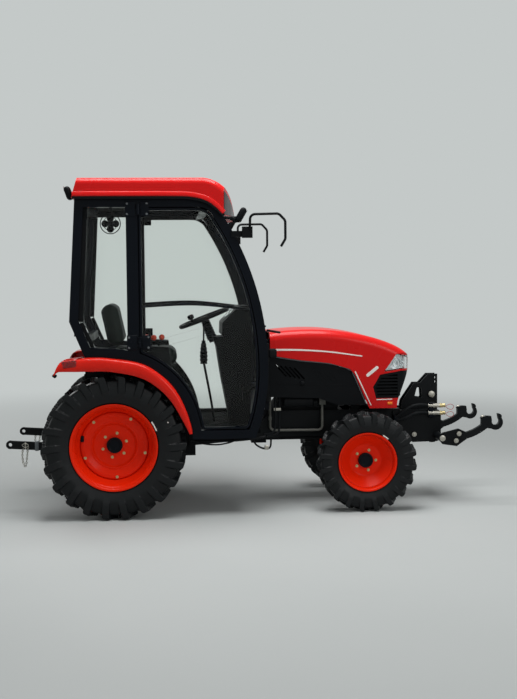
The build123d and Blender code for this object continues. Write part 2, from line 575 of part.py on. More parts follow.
# Transmission, rear axle housing and the lift cover behind it
gearbox = block((-150, 520), (-130, 130), (330, BELL_Z))
clutch = across(polygon((480, 398), (960, 436), (BELL_FRONT, 440), (BELL_FRONT, 690), (935, BELL_Z), (480, BELL_Z)),
                -150, 150)
cover = block((-150, 250), (-120, 120), (BELL_Z, COVER_Z))
trumpet = rod((0, 120, REAR_TYRE_RADIUS), (0, REAR_HALF - 118, REAR_TYRE_RADIUS), 62)
trumpet += rod((0, REAR_HALF - 134, REAR_TYRE_RADIUS), (0, REAR_HALF - 118, REAR_TYRE_RADIUS), 84)
shaft_end = REAR_HALF - rear_stop - 1
trumpet += rod((0, 120, REAR_TYRE_RADIUS), (0, shaft_end, REAR_TYRE_RADIUS), REAR_SHAFT_RADIUS)
hanger = across(polygon((LINK_X - 26, LINK_Z - 26), (LINK_X + 30, LINK_Z - 26), (10, 430), (10, 480),
                        (LINK_X - 26, LINK_Z + 26)), LINK_HALF - 40, LINK_HALF - 24)
hanger += rod((LINK_X, LINK_HALF - 40, LINK_Z), (LINK_X, LINK_HALF + 14, LINK_Z), 14)
transfer = block(TRANSFER_X, (-60, 60), (PIVOT_Z - 24, 460))
stub = rod((-150, 0, 480), (-225, 0, 480), 17.45)
rock_case = rod((ROCK_X, -150, ROCK_Z), (ROCK_X, 150, ROCK_Z), 44) + block(
    (ROCK_X, -150), (-110, 110), (ROCK_Z - 44, ROCK_Z + 44))
top_ears = both_sides(across(polygon((-150, 560), (-230, 575), (-230, 615), (-150, 630)), 24, 36))
casting = gearbox + clutch + cover + both_sides(trumpet + hanger) + transfer + stub + rock_case + top_ears
casting -= rod((ROCK_X, -200, ROCK_Z), (ROCK_X, 200, ROCK_Z), ROCK_RADIUS + RUNNING_GAP)
casting -= rod((-212, -60, 595), (-212, 60, 595), 9.65)
save("transmission", casting)

# Drawbar under the gearbox
bar = block((-340, 0), (-32, 32), (290, 322)) + block((-140, 0), (-70, 70), (322, 330))
save("drawbar", bar - rod((-308, 0, 280), (-308, 0, 340), 13))

# Front frame rails with the two brackets of the axle's pivot
rails = both_sides(block((BELL_FRONT, bay(1900)), (RAIL_INNER, RAIL_OUTER), RAIL_Z))
for x in (WHEELBASE - 130, WHEELBASE + 100):
    rails += block((x, x + 30), (-RAIL_OUTER, RAIL_OUTER), (PIVOT_Z - 46, RAIL_Z[1]))
rails += bay_block((1880, 1900), (-RAIL_OUTER, RAIL_OUTER), (450, RAIL_Z[1]))
rails -= rod((WHEELBASE - 200, 0, PIVOT_Z), (WHEELBASE + 200, 0, PIVOT_Z), 36 + CURVE_GAP)
save("front_frame", rails)

# Front axle beam with its pivot, kingpin housings and drive shaft
beam = rod((WHEELBASE - 134, 0, PIVOT_Z), (WHEELBASE + 134, 0, PIVOT_Z), 36)
beam += Pos(WHEELBASE, 0, BEAM_Z) * Sphere(85)
beam += rod((WHEELBASE, -KINGPIN_HALF, BEAM_Z), (WHEELBASE, KINGPIN_HALF, BEAM_Z), 48)
beam += rod((TRANSFER_X[1], 0, PIVOT_Z), (WHEELBASE - 50, 0, PIVOT_Z), DRIVE_RADIUS)
housing_foot = 352
for side in (1, -1):
    y = side * KINGPIN_HALF
    beam += rod((WHEELBASE, y, housing_foot), (WHEELBASE, y, 452), 46)
    beam -= rod((WHEELBASE, y, housing_foot - 1), (WHEELBASE, y, 441), KINGPIN_RADIUS + RUNNING_GAP)
save("front_axle", beam)

# Knuckles turn under the kingpin housings and carry the front wheels
knuckle = rod((WHEELBASE, -KINGPIN_HALF, 250), (WHEELBASE, -KINGPIN_HALF, housing_foot - CURVE_GAP), 50)
knuckle += rod((WHEELBASE, -KINGPIN_HALF, 300), (WHEELBASE, -KINGPIN_HALF, 440), KINGPIN_RADIUS)
knuckle += rod((WHEELBASE, -KINGPIN_HALF, FRONT_TYRE_RADIUS),
               (WHEELBASE, -FRONT_HALF + front_stop + 1, FRONT_TYRE_RADIUS), SPINDLE_RADIUS)
steer_arm = block((WHEELBASE - STEER_ARM - 22, WHEELBASE), (-KINGPIN_HALF - 16, -KINGPIN_HALF + 16), (262, 282))
knuckle += steer_arm
pin_x = WHEELBASE - STEER_ARM
knuckle -= rod((pin_x, -KINGPIN_HALF, 200), (pin_x, -KINGPIN_HALF, 300), 9 + RUNNING_GAP)
save("knuckle_right", knuckle)
save("knuckle_left", mirror(knuckle, about=Plane.XZ))
tie = rod((pin_x, -KINGPIN_HALF, 244), (pin_x, KINGPIN_HALF, 244), 13)
for y in (-KINGPIN_HALF, KINGPIN_HALF):
    tie += rod((pin_x, y, 230), (pin_x, y, 261.5), 19) + rod((pin_x, y, 230), (pin_x, y, 282), 9)
save("tie_rod", tie)

# Front linkage frame: side plates, a cross box and a tower for the top link
foot_x, face_x = bay(1850), LIFT_X + 30
plate_face = polygon((foot_x, 610), (LIFT_X - 25, 612), (face_x, 592), (face_x, LIFT_Z - 32), (LIFT_X, LIFT_Z - 42),
                     (bay(1985), LIFT_Z - 45), (bay(1955), 430), (foot_x, 500))
tower_face = polygon((bay(1916), 540), (LIFT_X - 213, 663), (LIFT_X - 130, 784), (LIFT_X - 90, 784),
                     (LIFT_X - 33, 844), (face_x, 844), (face_x, 540))
tower_face -= fillet(polygon((LIFT_X - 128, 690), (LIFT_X - 112, 752), (LIFT_X - 80, 752), (LIFT_X - 74, 680)).vertices(), 8)
plate_face -= Pos(LIFT_X, LIFT_Z) * Circle(LIFT_TUBE + RUNNING_GAP)
for z in (819, 790):
    tower_face -= Pos(LIFT_X + 8, z) * Circle(9.65)
carrier = both_sides(across(plate_face, RAIL_OUTER, RAIL_OUTER + 14) + across(tower_face, 34, 46))
carrier += bay_block((1900, 1916), (-RAIL_OUTER, RAIL_OUTER), (420, 610))
carrier += block((LIFT_X - 100, LIFT_X + 20), (-RAIL_OUTER, RAIL_OUTER), (540, 605))
carrier += both_sides(block((bay(1916), RAM_X + 22), (20, 32), (RAM_Z - 22, RAM_Z + 22)))
carrier += rod((RAM_X, -32, RAM_Z), (RAM_X, 32, RAM_Z), 10)
carrier += rod((LIFT_X - 13, -60, 706), (LIFT_X - 13, 60, 706), 14)
carrier += both_sides(rod((bay(1995), RAIL_OUTER, 446), (bay(1995), RAIL_OUTER + 24, 446), 15))
save("front_linkage_frame", carrier)

# Front lift arms on their cross tube: plates, bowed limbs with open hooks and latches, and the ram's crank
lever = polygon((LIFT_X - 32, LIFT_Z), (LIFT_X, LIFT_Z + 37), (LIFT_X + 107, LIFT_Z + 63), (LIFT_X + 154, LIFT_Z + 41),
                (LIFT_X + 162, LIFT_Z - 7), (LIFT_X + 95, LIFT_Z - 54), (LIFT_X, LIFT_Z - 39))
reach, hook_z = FRONT_REACH - HOOK_RADIUS, LIFT_Z + 101
bow = ThreePointArc((LIFT_X + 135, LIFT_Z + 12), ((LIFT_X + reach) / 2 + 46, LIFT_Z + 41), (reach - 62, hook_z - 14))
jaw = SlotArc(bow, 42) + Pos(reach, hook_z) * Circle(HOOK_RADIUS) + Pos(reach + 22, hook_z + 38) * Circle(20)
jaw += polygon((reach - 96, hook_z - 32), (reach - 94, hook_z + 38), (reach - 58, hook_z + 44), (reach, hook_z + 40),
               (reach, hook_z - 46))
jaw -= Pos(reach, hook_z + 8) * (Circle(26) + Rot(Z=10) * Pos(0, 50) * Rectangle(46, 100))
hook_mid = FRONT_ARM_HALF + ARM_PLATE / 2
limb = across(jaw, hook_mid - HOOK_THICK / 2, hook_mid + HOOK_THICK / 2)
limb += rod((reach - 80, hook_mid, hook_z + 20), (reach - 98, hook_mid, hook_z + 34), 8)
arms = both_sides(across(lever, FRONT_ARM_HALF, FRONT_ARM_HALF + ARM_PLATE) + limb)
for x, z in ((LIFT_X + 107, LIFT_Z + 31), (LIFT_X + 88, LIFT_Z - 15)):
    arms += both_sides(rod((x, FRONT_ARM_HALF, z), (x, hook_mid + HOOK_THICK / 2 + 6, z), 15))
arms += rod((LIFT_X, -FRONT_ARM_HALF - 8, LIFT_Z), (LIFT_X, FRONT_ARM_HALF + 8, LIFT_Z), LIFT_TUBE)
cheek = polygon((LIFT_X - 26, LIFT_Z), (LIFT_X + 26, LIFT_Z), (LIFT_X + 19, LIFT_Z - CRANK - 16),
                (LIFT_X - 19, LIFT_Z - CRANK - 16))
arms += both_sides(across(cheek, 14.6, 24.6))
save("front_lift_arms", arms)

# Lift ram between the frame and the crank
ram_foot, ram_eye = Vector(RAM_X, 0, RAM_Z), Vector(LIFT_X, 0, LIFT_Z - CRANK)
ram_dir = (ram_eye - ram_foot).normalized()
barrel = rod(tuple(ram_foot + ram_dir * 16), tuple(ram_foot + ram_dir * 130), 18)
barrel += rod((RAM_X, -19, RAM_Z), (RAM_X, 19, RAM_Z), 20)
barrel -= rod((RAM_X, -30, RAM_Z), (RAM_X, 30, RAM_Z), 10 + RUNNING_GAP)
barrel -= rod(tuple(ram_foot + ram_dir * 26), tuple(ram_foot + ram_dir * 140), 12 + RUNNING_GAP)
save("lift_ram_barrel", barrel)
piston = rod(tuple(ram_eye - ram_dir * 150), tuple(ram_eye), 12)
piston += rod((ram_eye.X, -14, ram_eye.Z), (ram_eye.X, 14, ram_eye.Z), 20)
save("lift_ram_rod", piston)

# Hydraulic pipes along the right side and hoses to the front couplers
pipe_front = bay(1368)
pipes = tube([(1018, -165, 735), (1018, -165, 494), (pipe_front, -165, 490), (pipe_front, -165, 690)], 9, 30)
pipes += block((1008, 1028), (-172, -150), (560, 582)) + bay_block((1349, 1390), (-182, -140), (660, 700))
save("hydraulic_pipes", pipes)
hoses = tube([(bay(1860), -172, 560), (bay(1900), -185, 600), (bay(2010), -190, 660), (LIFT_X - 40, -170, 640)], 10, 25)
hoses += block((LIFT_X - 55, LIFT_X + 15), (-185, -152), (560, 660)) + bay_block((1852, 1882), (-182, -152), (540, 580))
for z in (590, 640):
    hoses += rod((LIFT_X + 15, -168, z), (LIFT_X + 55, -168, z), 15)
save("front_hoses", hoses)

# Rear lower links, rockshaft arms and lift rods form one parallelogram
link_end = -REAR_REACH + 27
slope = (LINK_END_Z - LINK_Z) / (link_end - LINK_X)
lift_x = LINK_X - LIFT_ARM
lift_z = LINK_Z + slope * (lift_x - LINK_X)
link_face = polygon((LINK_X, LINK_Z - 26), (LINK_X, LINK_Z + 26), (link_end, LINK_END_Z + 26), (link_end, LINK_END_Z - 26))
link_face += Pos(LINK_X, LINK_Z) * Circle(30) + Pos(link_end, LINK_END_Z) * Circle(27)
link_face -= Pos(LINK_X, LINK_Z) * Circle(14 + RUNNING_GAP) + Pos(link_end, LINK_END_Z) * Circle(11.3)
link = across(link_face, LINK_HALF - LINK_PLATE / 2, LINK_HALF + LINK_PLATE / 2)
rod_y = LINK_HALF - LINK_PLATE / 2 - 22
link += rod((lift_x, LINK_HALF, lift_z), (lift_x, rod_y - 10, lift_z), 10)
save("lower_links", both_sides(link))

rock_x, rock_z = ROCK_X - LIFT_ARM, ROCK_Z + slope * -LIFT_ARM
arm_face = polygon((ROCK_X, ROCK_Z - 30), (ROCK_X, ROCK_Z + 30), (rock_x, rock_z + 20), (rock_x, rock_z - 20))
arm_face += Pos(ROCK_X, ROCK_Z) * Circle(34) + Pos(rock_x, rock_z) * Circle(22)
arm_y = rod_y - 12
rock_arm = across(arm_face, arm_y - 20, arm_y)
rock_arm += rod((rock_x, arm_y - 20, rock_z), (rock_x, rod_y + 10, rock_z), 10)
rock = both_sides(rock_arm) + rod((ROCK_X, -arm_y, ROCK_Z), (ROCK_X, arm_y, ROCK_Z), ROCK_RADIUS)
save("rockshaft_arms", rock)

lift_rod = rod((lift_x, rod_y, lift_z), (rock_x, rod_y, rock_z), 9)
for x, z in ((lift_x, lift_z), (rock_x, rock_z)):
    lift_rod += rod((x, rod_y - 11, z), (x, rod_y + 11, z), 20)
for x, z in ((lift_x, lift_z), (rock_x, rock_z)):
    lift_rod -= rod((x, rod_y - 30, z), (x, rod_y + 30, z), 10 + RUNNING_GAP)
save("lift_rods", both_sides(lift_rod))
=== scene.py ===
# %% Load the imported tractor
import bmesh
import bpy
import numpy as np
from mathutils import Matrix


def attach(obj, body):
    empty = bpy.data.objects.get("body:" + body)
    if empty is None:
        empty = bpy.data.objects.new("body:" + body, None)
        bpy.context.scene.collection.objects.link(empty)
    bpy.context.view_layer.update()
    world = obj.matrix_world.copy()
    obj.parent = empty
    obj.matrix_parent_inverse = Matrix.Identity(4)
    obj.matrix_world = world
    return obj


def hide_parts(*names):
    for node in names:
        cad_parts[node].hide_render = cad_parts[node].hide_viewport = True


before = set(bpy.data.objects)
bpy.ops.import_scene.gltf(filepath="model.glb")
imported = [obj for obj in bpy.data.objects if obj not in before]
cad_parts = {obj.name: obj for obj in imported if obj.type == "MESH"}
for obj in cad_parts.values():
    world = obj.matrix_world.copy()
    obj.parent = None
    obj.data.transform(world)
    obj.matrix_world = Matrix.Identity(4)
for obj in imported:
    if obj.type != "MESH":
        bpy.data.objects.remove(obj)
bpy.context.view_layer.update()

# %% [markdown]
# A compact cab tractor: red panels over a black frame, bar-lug tyres, a glazed cab and a linkage at each end.
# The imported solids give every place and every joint. This notebook dresses them, one group at a time.
# Places are written as on a drawing, in millimetres from the rear axle, and one function makes them metres.

# %% Helpers for shapes
MIDDLE = 930.0    # mm from the rear axle to the middle of the tractor's length
SIDES = ("right", "left")
# Directions, as seen from the right-hand side
OUTWARD, AXLE, UPWARD, FORWARD = (0, -1, 0), (0, 1, 0), (0, 0, 1), (1, 0, 0)


def metres(points):
    """Millimetres from the rear axle to metres from the middle of the length: subtract, then divide."""
    return (np.asarray(points, float) - (MIDDLE, 0, 0)) / 1000


def unit(vectors):
    """Each vector divided by its own length."""
    vectors = np.asarray(vectors, float)
    return vectors / np.linalg.norm(vectors, axis=-1, keepdims=True)


def surface(points, wrap_rows=False, wrap_columns=False):
    """Grid of points and its quads: each cell joins four corners, a wrapped side joins last to first."""
    rows, columns = points.shape[:2]
    r = np.arange(rows if wrap_rows else rows - 1)[:, None]
    c = np.arange(columns if wrap_columns else columns - 1)[None, :]
    below, right = (r + 1) % rows * columns, (c + 1) % columns
    quads = np.stack([r * columns + c, r * columns + right, below + right, below + c], -1)
    return points.reshape(-1, 3), quads.reshape(-1, 4)


def mirrored(part):
    """The part across the centre plane: y changes sign and each quad runs the other way round."""
    return part[0] * (1, -1, 1), part[1][:, ::-1]


def curve(points, count):
    """Smooth line through points: on each span, a cubic with half the step between neighbours as slope."""
    p = np.asarray(points, float)
    last = len(p) - 1
    t = np.linspace(0, last, count)
    i = np.minimum(t.astype(int), last - 1)
    f = (t - i)[:, None]
    a, b, c, d = [p[np.clip(i + k, 0, last)] for k in (-1, 0, 1, 2)]
    return b + f * (c - a + f * (2 * a - 5 * b + 4 * c - d + f * (3 * (b - c) + d - a))) / 2


def rounded(points, reach, steps=4, closed=True):
    """Line with its corners rounded: each corner becomes the parabola between points a reach away from it."""
    p = np.asarray(points, float)
    back, ahead = np.roll(p, 1, 0) - p, np.roll(p, -1, 0) - p
    near = [p + v * np.minimum(reach / np.linalg.norm(v, axis=1), 0.48)[:, None] for v in (back, ahead)]
    t = np.linspace(0, 1, steps)[None, :, None]
    bend = (1 - t) ** 2 * near[0][:, None] + 2 * t * (1 - t) * p[:, None] + t ** 2 * near[1][:, None]
    if closed:
        return bend.reshape(-1, p.shape[1])
    return np.concatenate([p[:1], bend[1:-1].reshape(-1, p.shape[1]), p[-1:]])


def turned(profile, origin, axis, segments=32):
    """Profile (height, radius) carried round an axis: origin + height * axis + radius * (cos a, sin a)."""
    profile, axis = np.asarray(profile, float), unit(axis)
    side = unit(np.cross(axis, (0, 0, 1) if abs(axis[2]) < 0.9 else (1, 0, 0)))
    a = np.linspace(0, 2 * np.pi, segments, endpoint=False)[:, None]
    ring = np.cos(a) * side + np.sin(a) * np.cross(axis, side)
    height, radius = profile[:, 0, None, None], profile[:, 1, None, None]
    return surface(np.asarray(origin, float) + height * axis + radius * ring, wrap_columns=True)


def lofted(rings):
    """Skin over closed rings, row by row, with each end ring closed on its own middle."""
    ends = [np.repeat(rings[k].mean(0)[None, None], rings.shape[1], 1) for k in (0, -1)]
    return surface(np.concatenate([ends[0], rings, ends[1]]), wrap_columns=True)


def swept(path, profile, up, loop=False, scale=1.0):
    """Profile (sideways, upwards) carried along a path and scaled; an open end closes on its middle."""
    path, profile = np.asarray(path, float), np.asarray(profile, float)
    profile = profile[None] * np.broadcast_to(scale, len(path))[:, None, None]
    run = np.roll(path, -1, 0) - np.roll(path, 1, 0) if loop else np.gradient(path, axis=0)
    side = unit(np.cross(unit(run), up))
    lift = np.cross(side, unit(run))
    rings = path[:, None] + profile[..., :1] * side[:, None] + profile[..., 1:] * lift[:, None]
    return surface(rings, wrap_rows=True, wrap_columns=True) if loop else lofted(rings)


def circle(radius, segments=12):
    """Points of a circle, for a round profile."""
    a = np.linspace(0, 2 * np.pi, segments, endpoint=False)
    return radius * np.stack([np.cos(a), np.sin(a)], 1)


def oblong(half, low, high):
    """Four-sided profile, from -half to half sideways and from low to high upwards."""
    return [(-half, low), (half, low), (half, high), (-half, high)]


def at_width(outline, y):
    """A side outline (x, z) placed at one width."""
    return np.insert(outline, 1, y, axis=1)


ODD_WAY = (0.31, 0.84, 0.44)    # upward direction for round bars, along which none of them runs


def bar(points, radius, count=0):
    """Round bar along straight runs, or along a smooth line of the given count of points."""
    path = curve(points, count) if count else np.asarray(points, float)
    return swept(path, circle(radius), ODD_WAY)


def ball(centre, radius):
    """Sphere turned about the upright axis."""
    a = np.linspace(-np.pi / 2, np.pi / 2, 13)
    return turned(radius * np.stack([np.sin(a), np.cos(a)], 1), centre, UPWARD, 20)


def pad(half, corner, centre, tilt=0, steps=5):
    """Rounded box: a ball of the corner radius, its octants moved out to the corners, tilted about Y."""
    half, q = np.asarray(half, float), np.linspace(0, np.pi / 2, steps)
    low = np.concatenate([q - np.pi / 2, q])[:, None]
    turn = np.concatenate([q + k * np.pi / 2 for k in range(4)])[None, :]
    ball = np.stack([np.cos(low) * np.cos(turn), np.cos(low) * np.sin(turn), np.sin(low) + 0 * turn], -1)
    sign_z = np.repeat([-1, 1], steps)[:, None] + 0 * turn
    sign_x = np.repeat([1, -1, -1, 1], steps)[None, :] + 0 * low
    sign_y = np.repeat([1, 1, -1, -1], steps)[None, :] + 0 * low
    points = ball * corner + np.stack([sign_x, sign_y, sign_z], -1) * (half - corner)
    c, s = np.cos(np.radians(tilt)), np.sin(np.radians(tilt))
    turned_points = points @ np.array([[c, 0, -s], [0, 1, 0], [s, 0, c]])
    poles = [np.repeat(turned_points[k].mean(0)[None, None], 4 * steps, 1) for k in (0, -1)]
    return surface(np.concatenate([poles[0], turned_points, poles[1]]) + centre, wrap_columns=True)


def plate(outline, y_low, y_high, edge):
    """Flat plate of a side outline (x, z) between two widths, its rims drawn in by a small edge."""
    o = np.asarray(outline, float)
    middle = o.mean(0)
    inner = middle + (o - middle) * (1 - edge / np.linalg.norm(o - middle, axis=1))[:, None]
    y = np.array([y_low, y_low, y_low + edge, y_high - edge, y_high, y_high])[:, None]
    rows = [middle + 0 * o, inner, o, o, inner, middle + 0 * o]
    flat = np.stack([at_width(r, 0) for r in rows])
    return surface(flat + y[:, :, None] * AXLE, wrap_columns=True)


def hexagon_bolt(place, axis, size, height):
    """Bolt head on a washer: a six-sided turning that narrows at its top, over a thin round one."""
    head = [(0, 0), (0, size), (height * 0.85, size), (height, size * 0.88), (height, 0)]
    washer = [(0, 0), (0, size * 1.45), (height * 0.25, size * 1.45), (height * 0.25, 0)]
    return [turned(head, place, axis, 6), turned(washer, place, axis, 16)]


def for_side(parts, side):
    """The parts as drawn for the right side, or their mirror images for the left one."""
    return list(parts) if side == "right" else [mirrored(p) for p in parts]


def both(parts):
    """The parts and their mirror images across the centre plane."""
    return for_side(parts, "right") + for_side(parts, "left")


def mesh_of(name, parts):
    """One mesh of several parts: the quads shift by the corners before them, and doubles are merged."""
    starts = np.cumsum([0] + [len(points) for points, _ in parts[:-1]])
    quads = np.concatenate([q + start for (_, q), start in zip(parts, starts)])
    mesh = bpy.data.meshes.new(name)
    mesh.from_pydata(metres(np.concatenate([points for points, _ in parts])), [], quads.tolist())
    work = bmesh.new()
    work.from_mesh(mesh)
    bmesh.ops.remove_doubles(work, verts=work.verts, dist=2e-5)
    bmesh.ops.dissolve_degenerate(work, edges=work.edges, dist=1e-6)
    bmesh.ops.recalc_face_normals(work, faces=work.faces)
    work.to_mesh(mesh)
    work.free()
    return mesh


def placed(name, data):
    """A new object of this data, linked into the scene."""
    made = bpy.data.objects.new(name, data)
    bpy.context.scene.collection.objects.link(made)
    return made


def stand(made, across, above, back, spot):
    """Sets an object on a spot, with its own X, Y and Z axes along three directions."""
    matrix = np.eye(4)
    matrix[:3] = np.stack([across, above, back, metres(spot)], 1)
    made.matrix_world = Matrix(matrix.tolist())


def piece(name, parts, material, body, stands_for=(), sharp=38):
    """A finished piece: joined parts, smooth below the sharp angle, on its body."""
    mesh = mesh_of(name, parts)
    mesh.shade_smooth()
    mesh.set_sharp_from_angle(angle=np.radians(sharp))
    mesh.materials.append(material)
    made = placed(name, mesh)
    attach(made, body)
    if stands_for:
        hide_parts(*stands_for)


def fitting(name, parts, material):
    """A finished piece fixed to the tractor's own body, in place of no solid."""
    piece(name, parts, material, "tractor")


# %% [markdown]
# Finishes. New machines carry sprayed enamel, powder coat, moulded plastic, cast iron and zinc-plated bolts.
# Each one starts from a typical gloss, then gets broad patches of tone and a fine grain raised as bump.

# %% Helpers for finishes
def linear(code):
    """sRGB hex to linear light: c / 12.92 near black, otherwise ((c + 0.055) / 1.055) to the power 2.4."""
    c = np.array([int(code[i:i + 2], 16) for i in (0, 2, 4)]) / 255
    return (*np.where(c <= 0.04045, c / 12.92, ((c + 0.055) / 1.055) ** 2.4), 1.0)


def add(tree, kind, inputs=None, **settings):
    """Adds one node, sets its options, and fills or links its inputs."""
    made = tree.nodes.new("ShaderNode" + kind)
    for key, value in settings.items():
        setattr(made, key, value)
    for key, value in (inputs or {}).items():
        if isinstance(value, bpy.types.NodeSocket):
            tree.links.new(value, made.inputs[key])
        else:
            made.inputs[key].default_value = value
    return made


def blank(name):
    """An empty finish, its node tree, and the socket that gives places on the object."""
    material = bpy.data.materials.new(name)
    material.use_nodes = True
    tree = material.node_tree
    tree.nodes.clear()
    return material, tree, add(tree, "TexCoord").outputs["Object"]


SWING = 0.25    # share of the roughness by which a patch is duller or glossier


def finish(name, colour, shade, rough, patch_mm, grain_mm, lift_mm, sockets=None):
    """Two tones mixed by broad patches, a gloss that swings with them, and a fine grain as bump."""
    material, tree, place = blank(name)
    patch = add(tree, "TexNoise", {"Vector": place, "Scale": 1000 / patch_mm, "Detail": 4.0})
    grain = add(tree, "TexNoise", {"Vector": place, "Scale": 1000 / grain_mm, "Detail": 2.0})
    tone = add(tree, "Mix", {0: patch.outputs[0], 6: linear(colour), 7: linear(shade)}, data_type="RGBA")
    gloss = add(tree, "MapRange", {"Value": patch.outputs[0], "From Min": 0.3, "From Max": 0.7,
                                   "To Min": rough * (1 - SWING), "To Max": rough * (1 + SWING)})
    bump = add(tree, "Bump", {"Height": grain.outputs[0], "Distance": lift_mm / 1000, "Strength": 0.6})
    shader = add(tree, "BsdfPrincipled", {"Base Color": tone.outputs[2], "Roughness": gloss.outputs[0],
                                          "Normal": bump.outputs[0], **(sockets or {})})
    add(tree, "OutputMaterial", {"Surface": shader.outputs[0]})
    return material


def clear(name, colour, rough, sockets):
    """A see-through finish: faint uneven polish over a tinted body."""
    material, tree, place = blank(name)
    smear = add(tree, "TexNoise", {"Vector": place, "Scale": 6.0, "Detail": 3.0})
    gloss = add(tree, "MapRange", {"Value": smear.outputs[0], "To Min": rough, "To Max": rough * 2.5})
    shader = add(tree, "BsdfPrincipled", {"Base Color": linear(colour), "Roughness": gloss.outputs[0],
                                          "Transmission Weight": 1.0, **sockets})
    add(tree, "OutputMaterial", {"Surface": shader.outputs[0]})
    return material


# %% The finishes
COAT = {"Coat Weight": 0.12, "Coat Roughness": 0.12, "Specular IOR Level": 0.14}


def gloss_level(level):
    """The shader's own reflection level, for a surface less glossy than the usual half."""
    return {"Specular IOR Level": level}


DULL, DULLER = gloss_level(0.12), gloss_level(0.10)
red_enamel = finish("red_enamel_sprayed", "D01210", "BE0E0E", 0.30, 420, 2.5, 0.05, COAT)
# The fenders carry the same red enamel as the roof and bonnet, written brighter and more orange: the extra
# brightness is a painted highlight.
fender_red_with_painted_highlight = finish("red_enamel_brightened_as_painted_highlight", "E0200F", "CE180B", 0.28, 420, 2.5, 0.05, COAT)
wheel_enamel = finish("orange_red_enamel_sprayed", "F02A08", "DC2206", 0.30, 300, 2.5, 0.06, DULLER)
black_enamel = finish("black_enamel_sprayed", "050910", "080D15", 0.34, 260, 3.0, 0.08, DULLER)
powder_coat = finish("black_powder_coat", "07090B", "0E1113", 0.48, 180, 2.2, 0.25, DULL)
cast_iron = finish("black_painted_cast_iron", "0B0D0F", "15181A", 0.55, 120, 3.5, 0.6, DULL)
rubber = finish("tyre_rubber_moulded", "050709", "0C0F11", 0.48, 90, 4.0, 0.5, gloss_level(0.24))
black_abs = finish("black_abs_stippled", "050709", "0A0C0F", 0.50, 160, 1.8, 0.25, DULLER)
seal_rubber = finish("extruded_seal_rubber", "060709", "0C0E10", 0.60, 80, 2.0, 0.15, DULL)
seat_vinyl = finish("dark_green_seat_vinyl", "0E1614", "17221D", 0.48, 70, 2.6, 0.35, DULL)
hose_rubber = finish("braided_hose_rubber", "0B0D0F", "181B1D", 0.58, 60, 2.0, 0.35, DULL)
zinc = finish("zinc_plated_steel", "BDBAB0", "96938A", 0.36, 25, 1.5, 0.1, {"Metallic": 0.75})
steel = finish("bright_turned_steel", "C9C9C4", "9C9C98", 0.24, 40, 1.2, 0.05, {"Metallic": 1.0})
silvered = finish("silvered_reflector", "EEF0F0", "D5D9DB", 0.16, 30, 6.0, 0.05, {"Metallic": 0.7})
bowl_finish = finish("satin_silver_bowl", "F0F2F2", "DCE0E0", 0.34, 30, 5.0, 0.05, {"Metallic": 0.15})
# A dark maroon finish that paints the shade on the roof's front face.
roof_front_painted_shade = finish("dark_maroon_painted_shade", "32101A", "1C080C", 0.24, 90, 3.0, 0.02, DULL)
pale_vinyl = finish("pale_cut_vinyl", "F2ECE6", "E4DCD6", 0.42, 90, 2.0, 0.03)
orange_knob = finish("orange_moulded_knob", "D7401E", "B93214", 0.38, 40, 1.6, 0.08)
red_cord = finish("red_coated_wire", "B4302A", "8F231F", 0.5, 20, 1.2, 0.05)
brass = finish("yellow_zinc_coupler", "D2C394", "AF9E6C", 0.34, 20, 1.4, 0.08, {"Metallic": 0.7})
grey_trim = finish("grey_extruded_trim", "6E7376", "585D60", 0.45, 120, 2.0, 0.08)
glass = clear("tinted_safety_glass", "FAFDFB", 0.02, {"IOR": 1.2, "Specular IOR Level": 0.9})
lens_clear = clear("clear_polycarbonate_lens", "F4F7F8", 0.05, {"IOR": 1.3})
lens_red = clear("red_acrylic_lens", "B01212", 0.10, {"IOR": 1.49})
lens_amber = finish("amber_acrylic_lens", "F58410", "E86E08", 0.2, 30, 3.0, 0.02)
floor_mat = finish("ribbed_rubber_mat", "07090A", "0B0D0E", 0.9, 60, 5.0, 0.6, gloss_level(0.08))
pipe_zinc = finish("dull_zinc_pipe", "75756F", "5C5C57", 0.5, 40, 1.5, 0.05, {"Metallic": 0.5})
print("finishes", len(bpy.data.materials))


def dress(material, *names):
    """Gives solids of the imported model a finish, slot by slot."""
    for name in names:
        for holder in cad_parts[name].material_slots:
            holder.material = material


def sided(*names):
    """Each name with each side added to it."""
    return [name + "_" + side for name in names for side in SIDES]


# %% Dress the solids
dress(black_enamel, "cab_crossbars", "firewall", "wheel_arches", "bulkhead", "drawbar")
dress(black_enamel, *sided("cab_frame", "door_frame"))
dress(powder_coat, "front_frame", "front_axle", "front_linkage_frame", "front_lift_arms", "tie_rod")
dress(powder_coat, "lift_ram_barrel", "lower_links", "rockshaft_arms", "lift_rods", "seat_base", "radiator")
dress(powder_coat, *sided("knuckle"))
dress(red_enamel, "roof", "bonnet", *sided("fender"))
dress(wheel_enamel, *sided("rim_rear", "rim_front"))
dress(rubber, *sided("tyre_rear", "tyre_front"))
dress(glass, "windscreen", "rear_window", "quarter_windows", *sided("door_glass"))
dress(black_abs, "dashboard", "steering_column", "steering_wheel", "side_consoles", "control_levers")
dress(black_abs, "mirrors", "work_lamps", "grille", "side_panels", "front_hoses")
dress(seat_vinyl, "seat_cushion", "seat_back")
dress(floor_mat, "cab_floor", "roof_lining")
dress(lens_clear, "headlamps")
dress(lens_red, "tail_lamps")
dress(cast_iron, "engine", "transmission")
dress(steel, "lift_ram_rod")
dress(pipe_zinc, "hydraulic_pipes")

# %% [markdown]
# The camera stands level with the cab, a little behind the middle, and looks at the right-hand side.
# Its place and angles were fitted to the photograph's wheels, roof and linkages, so the frame needs no shift.

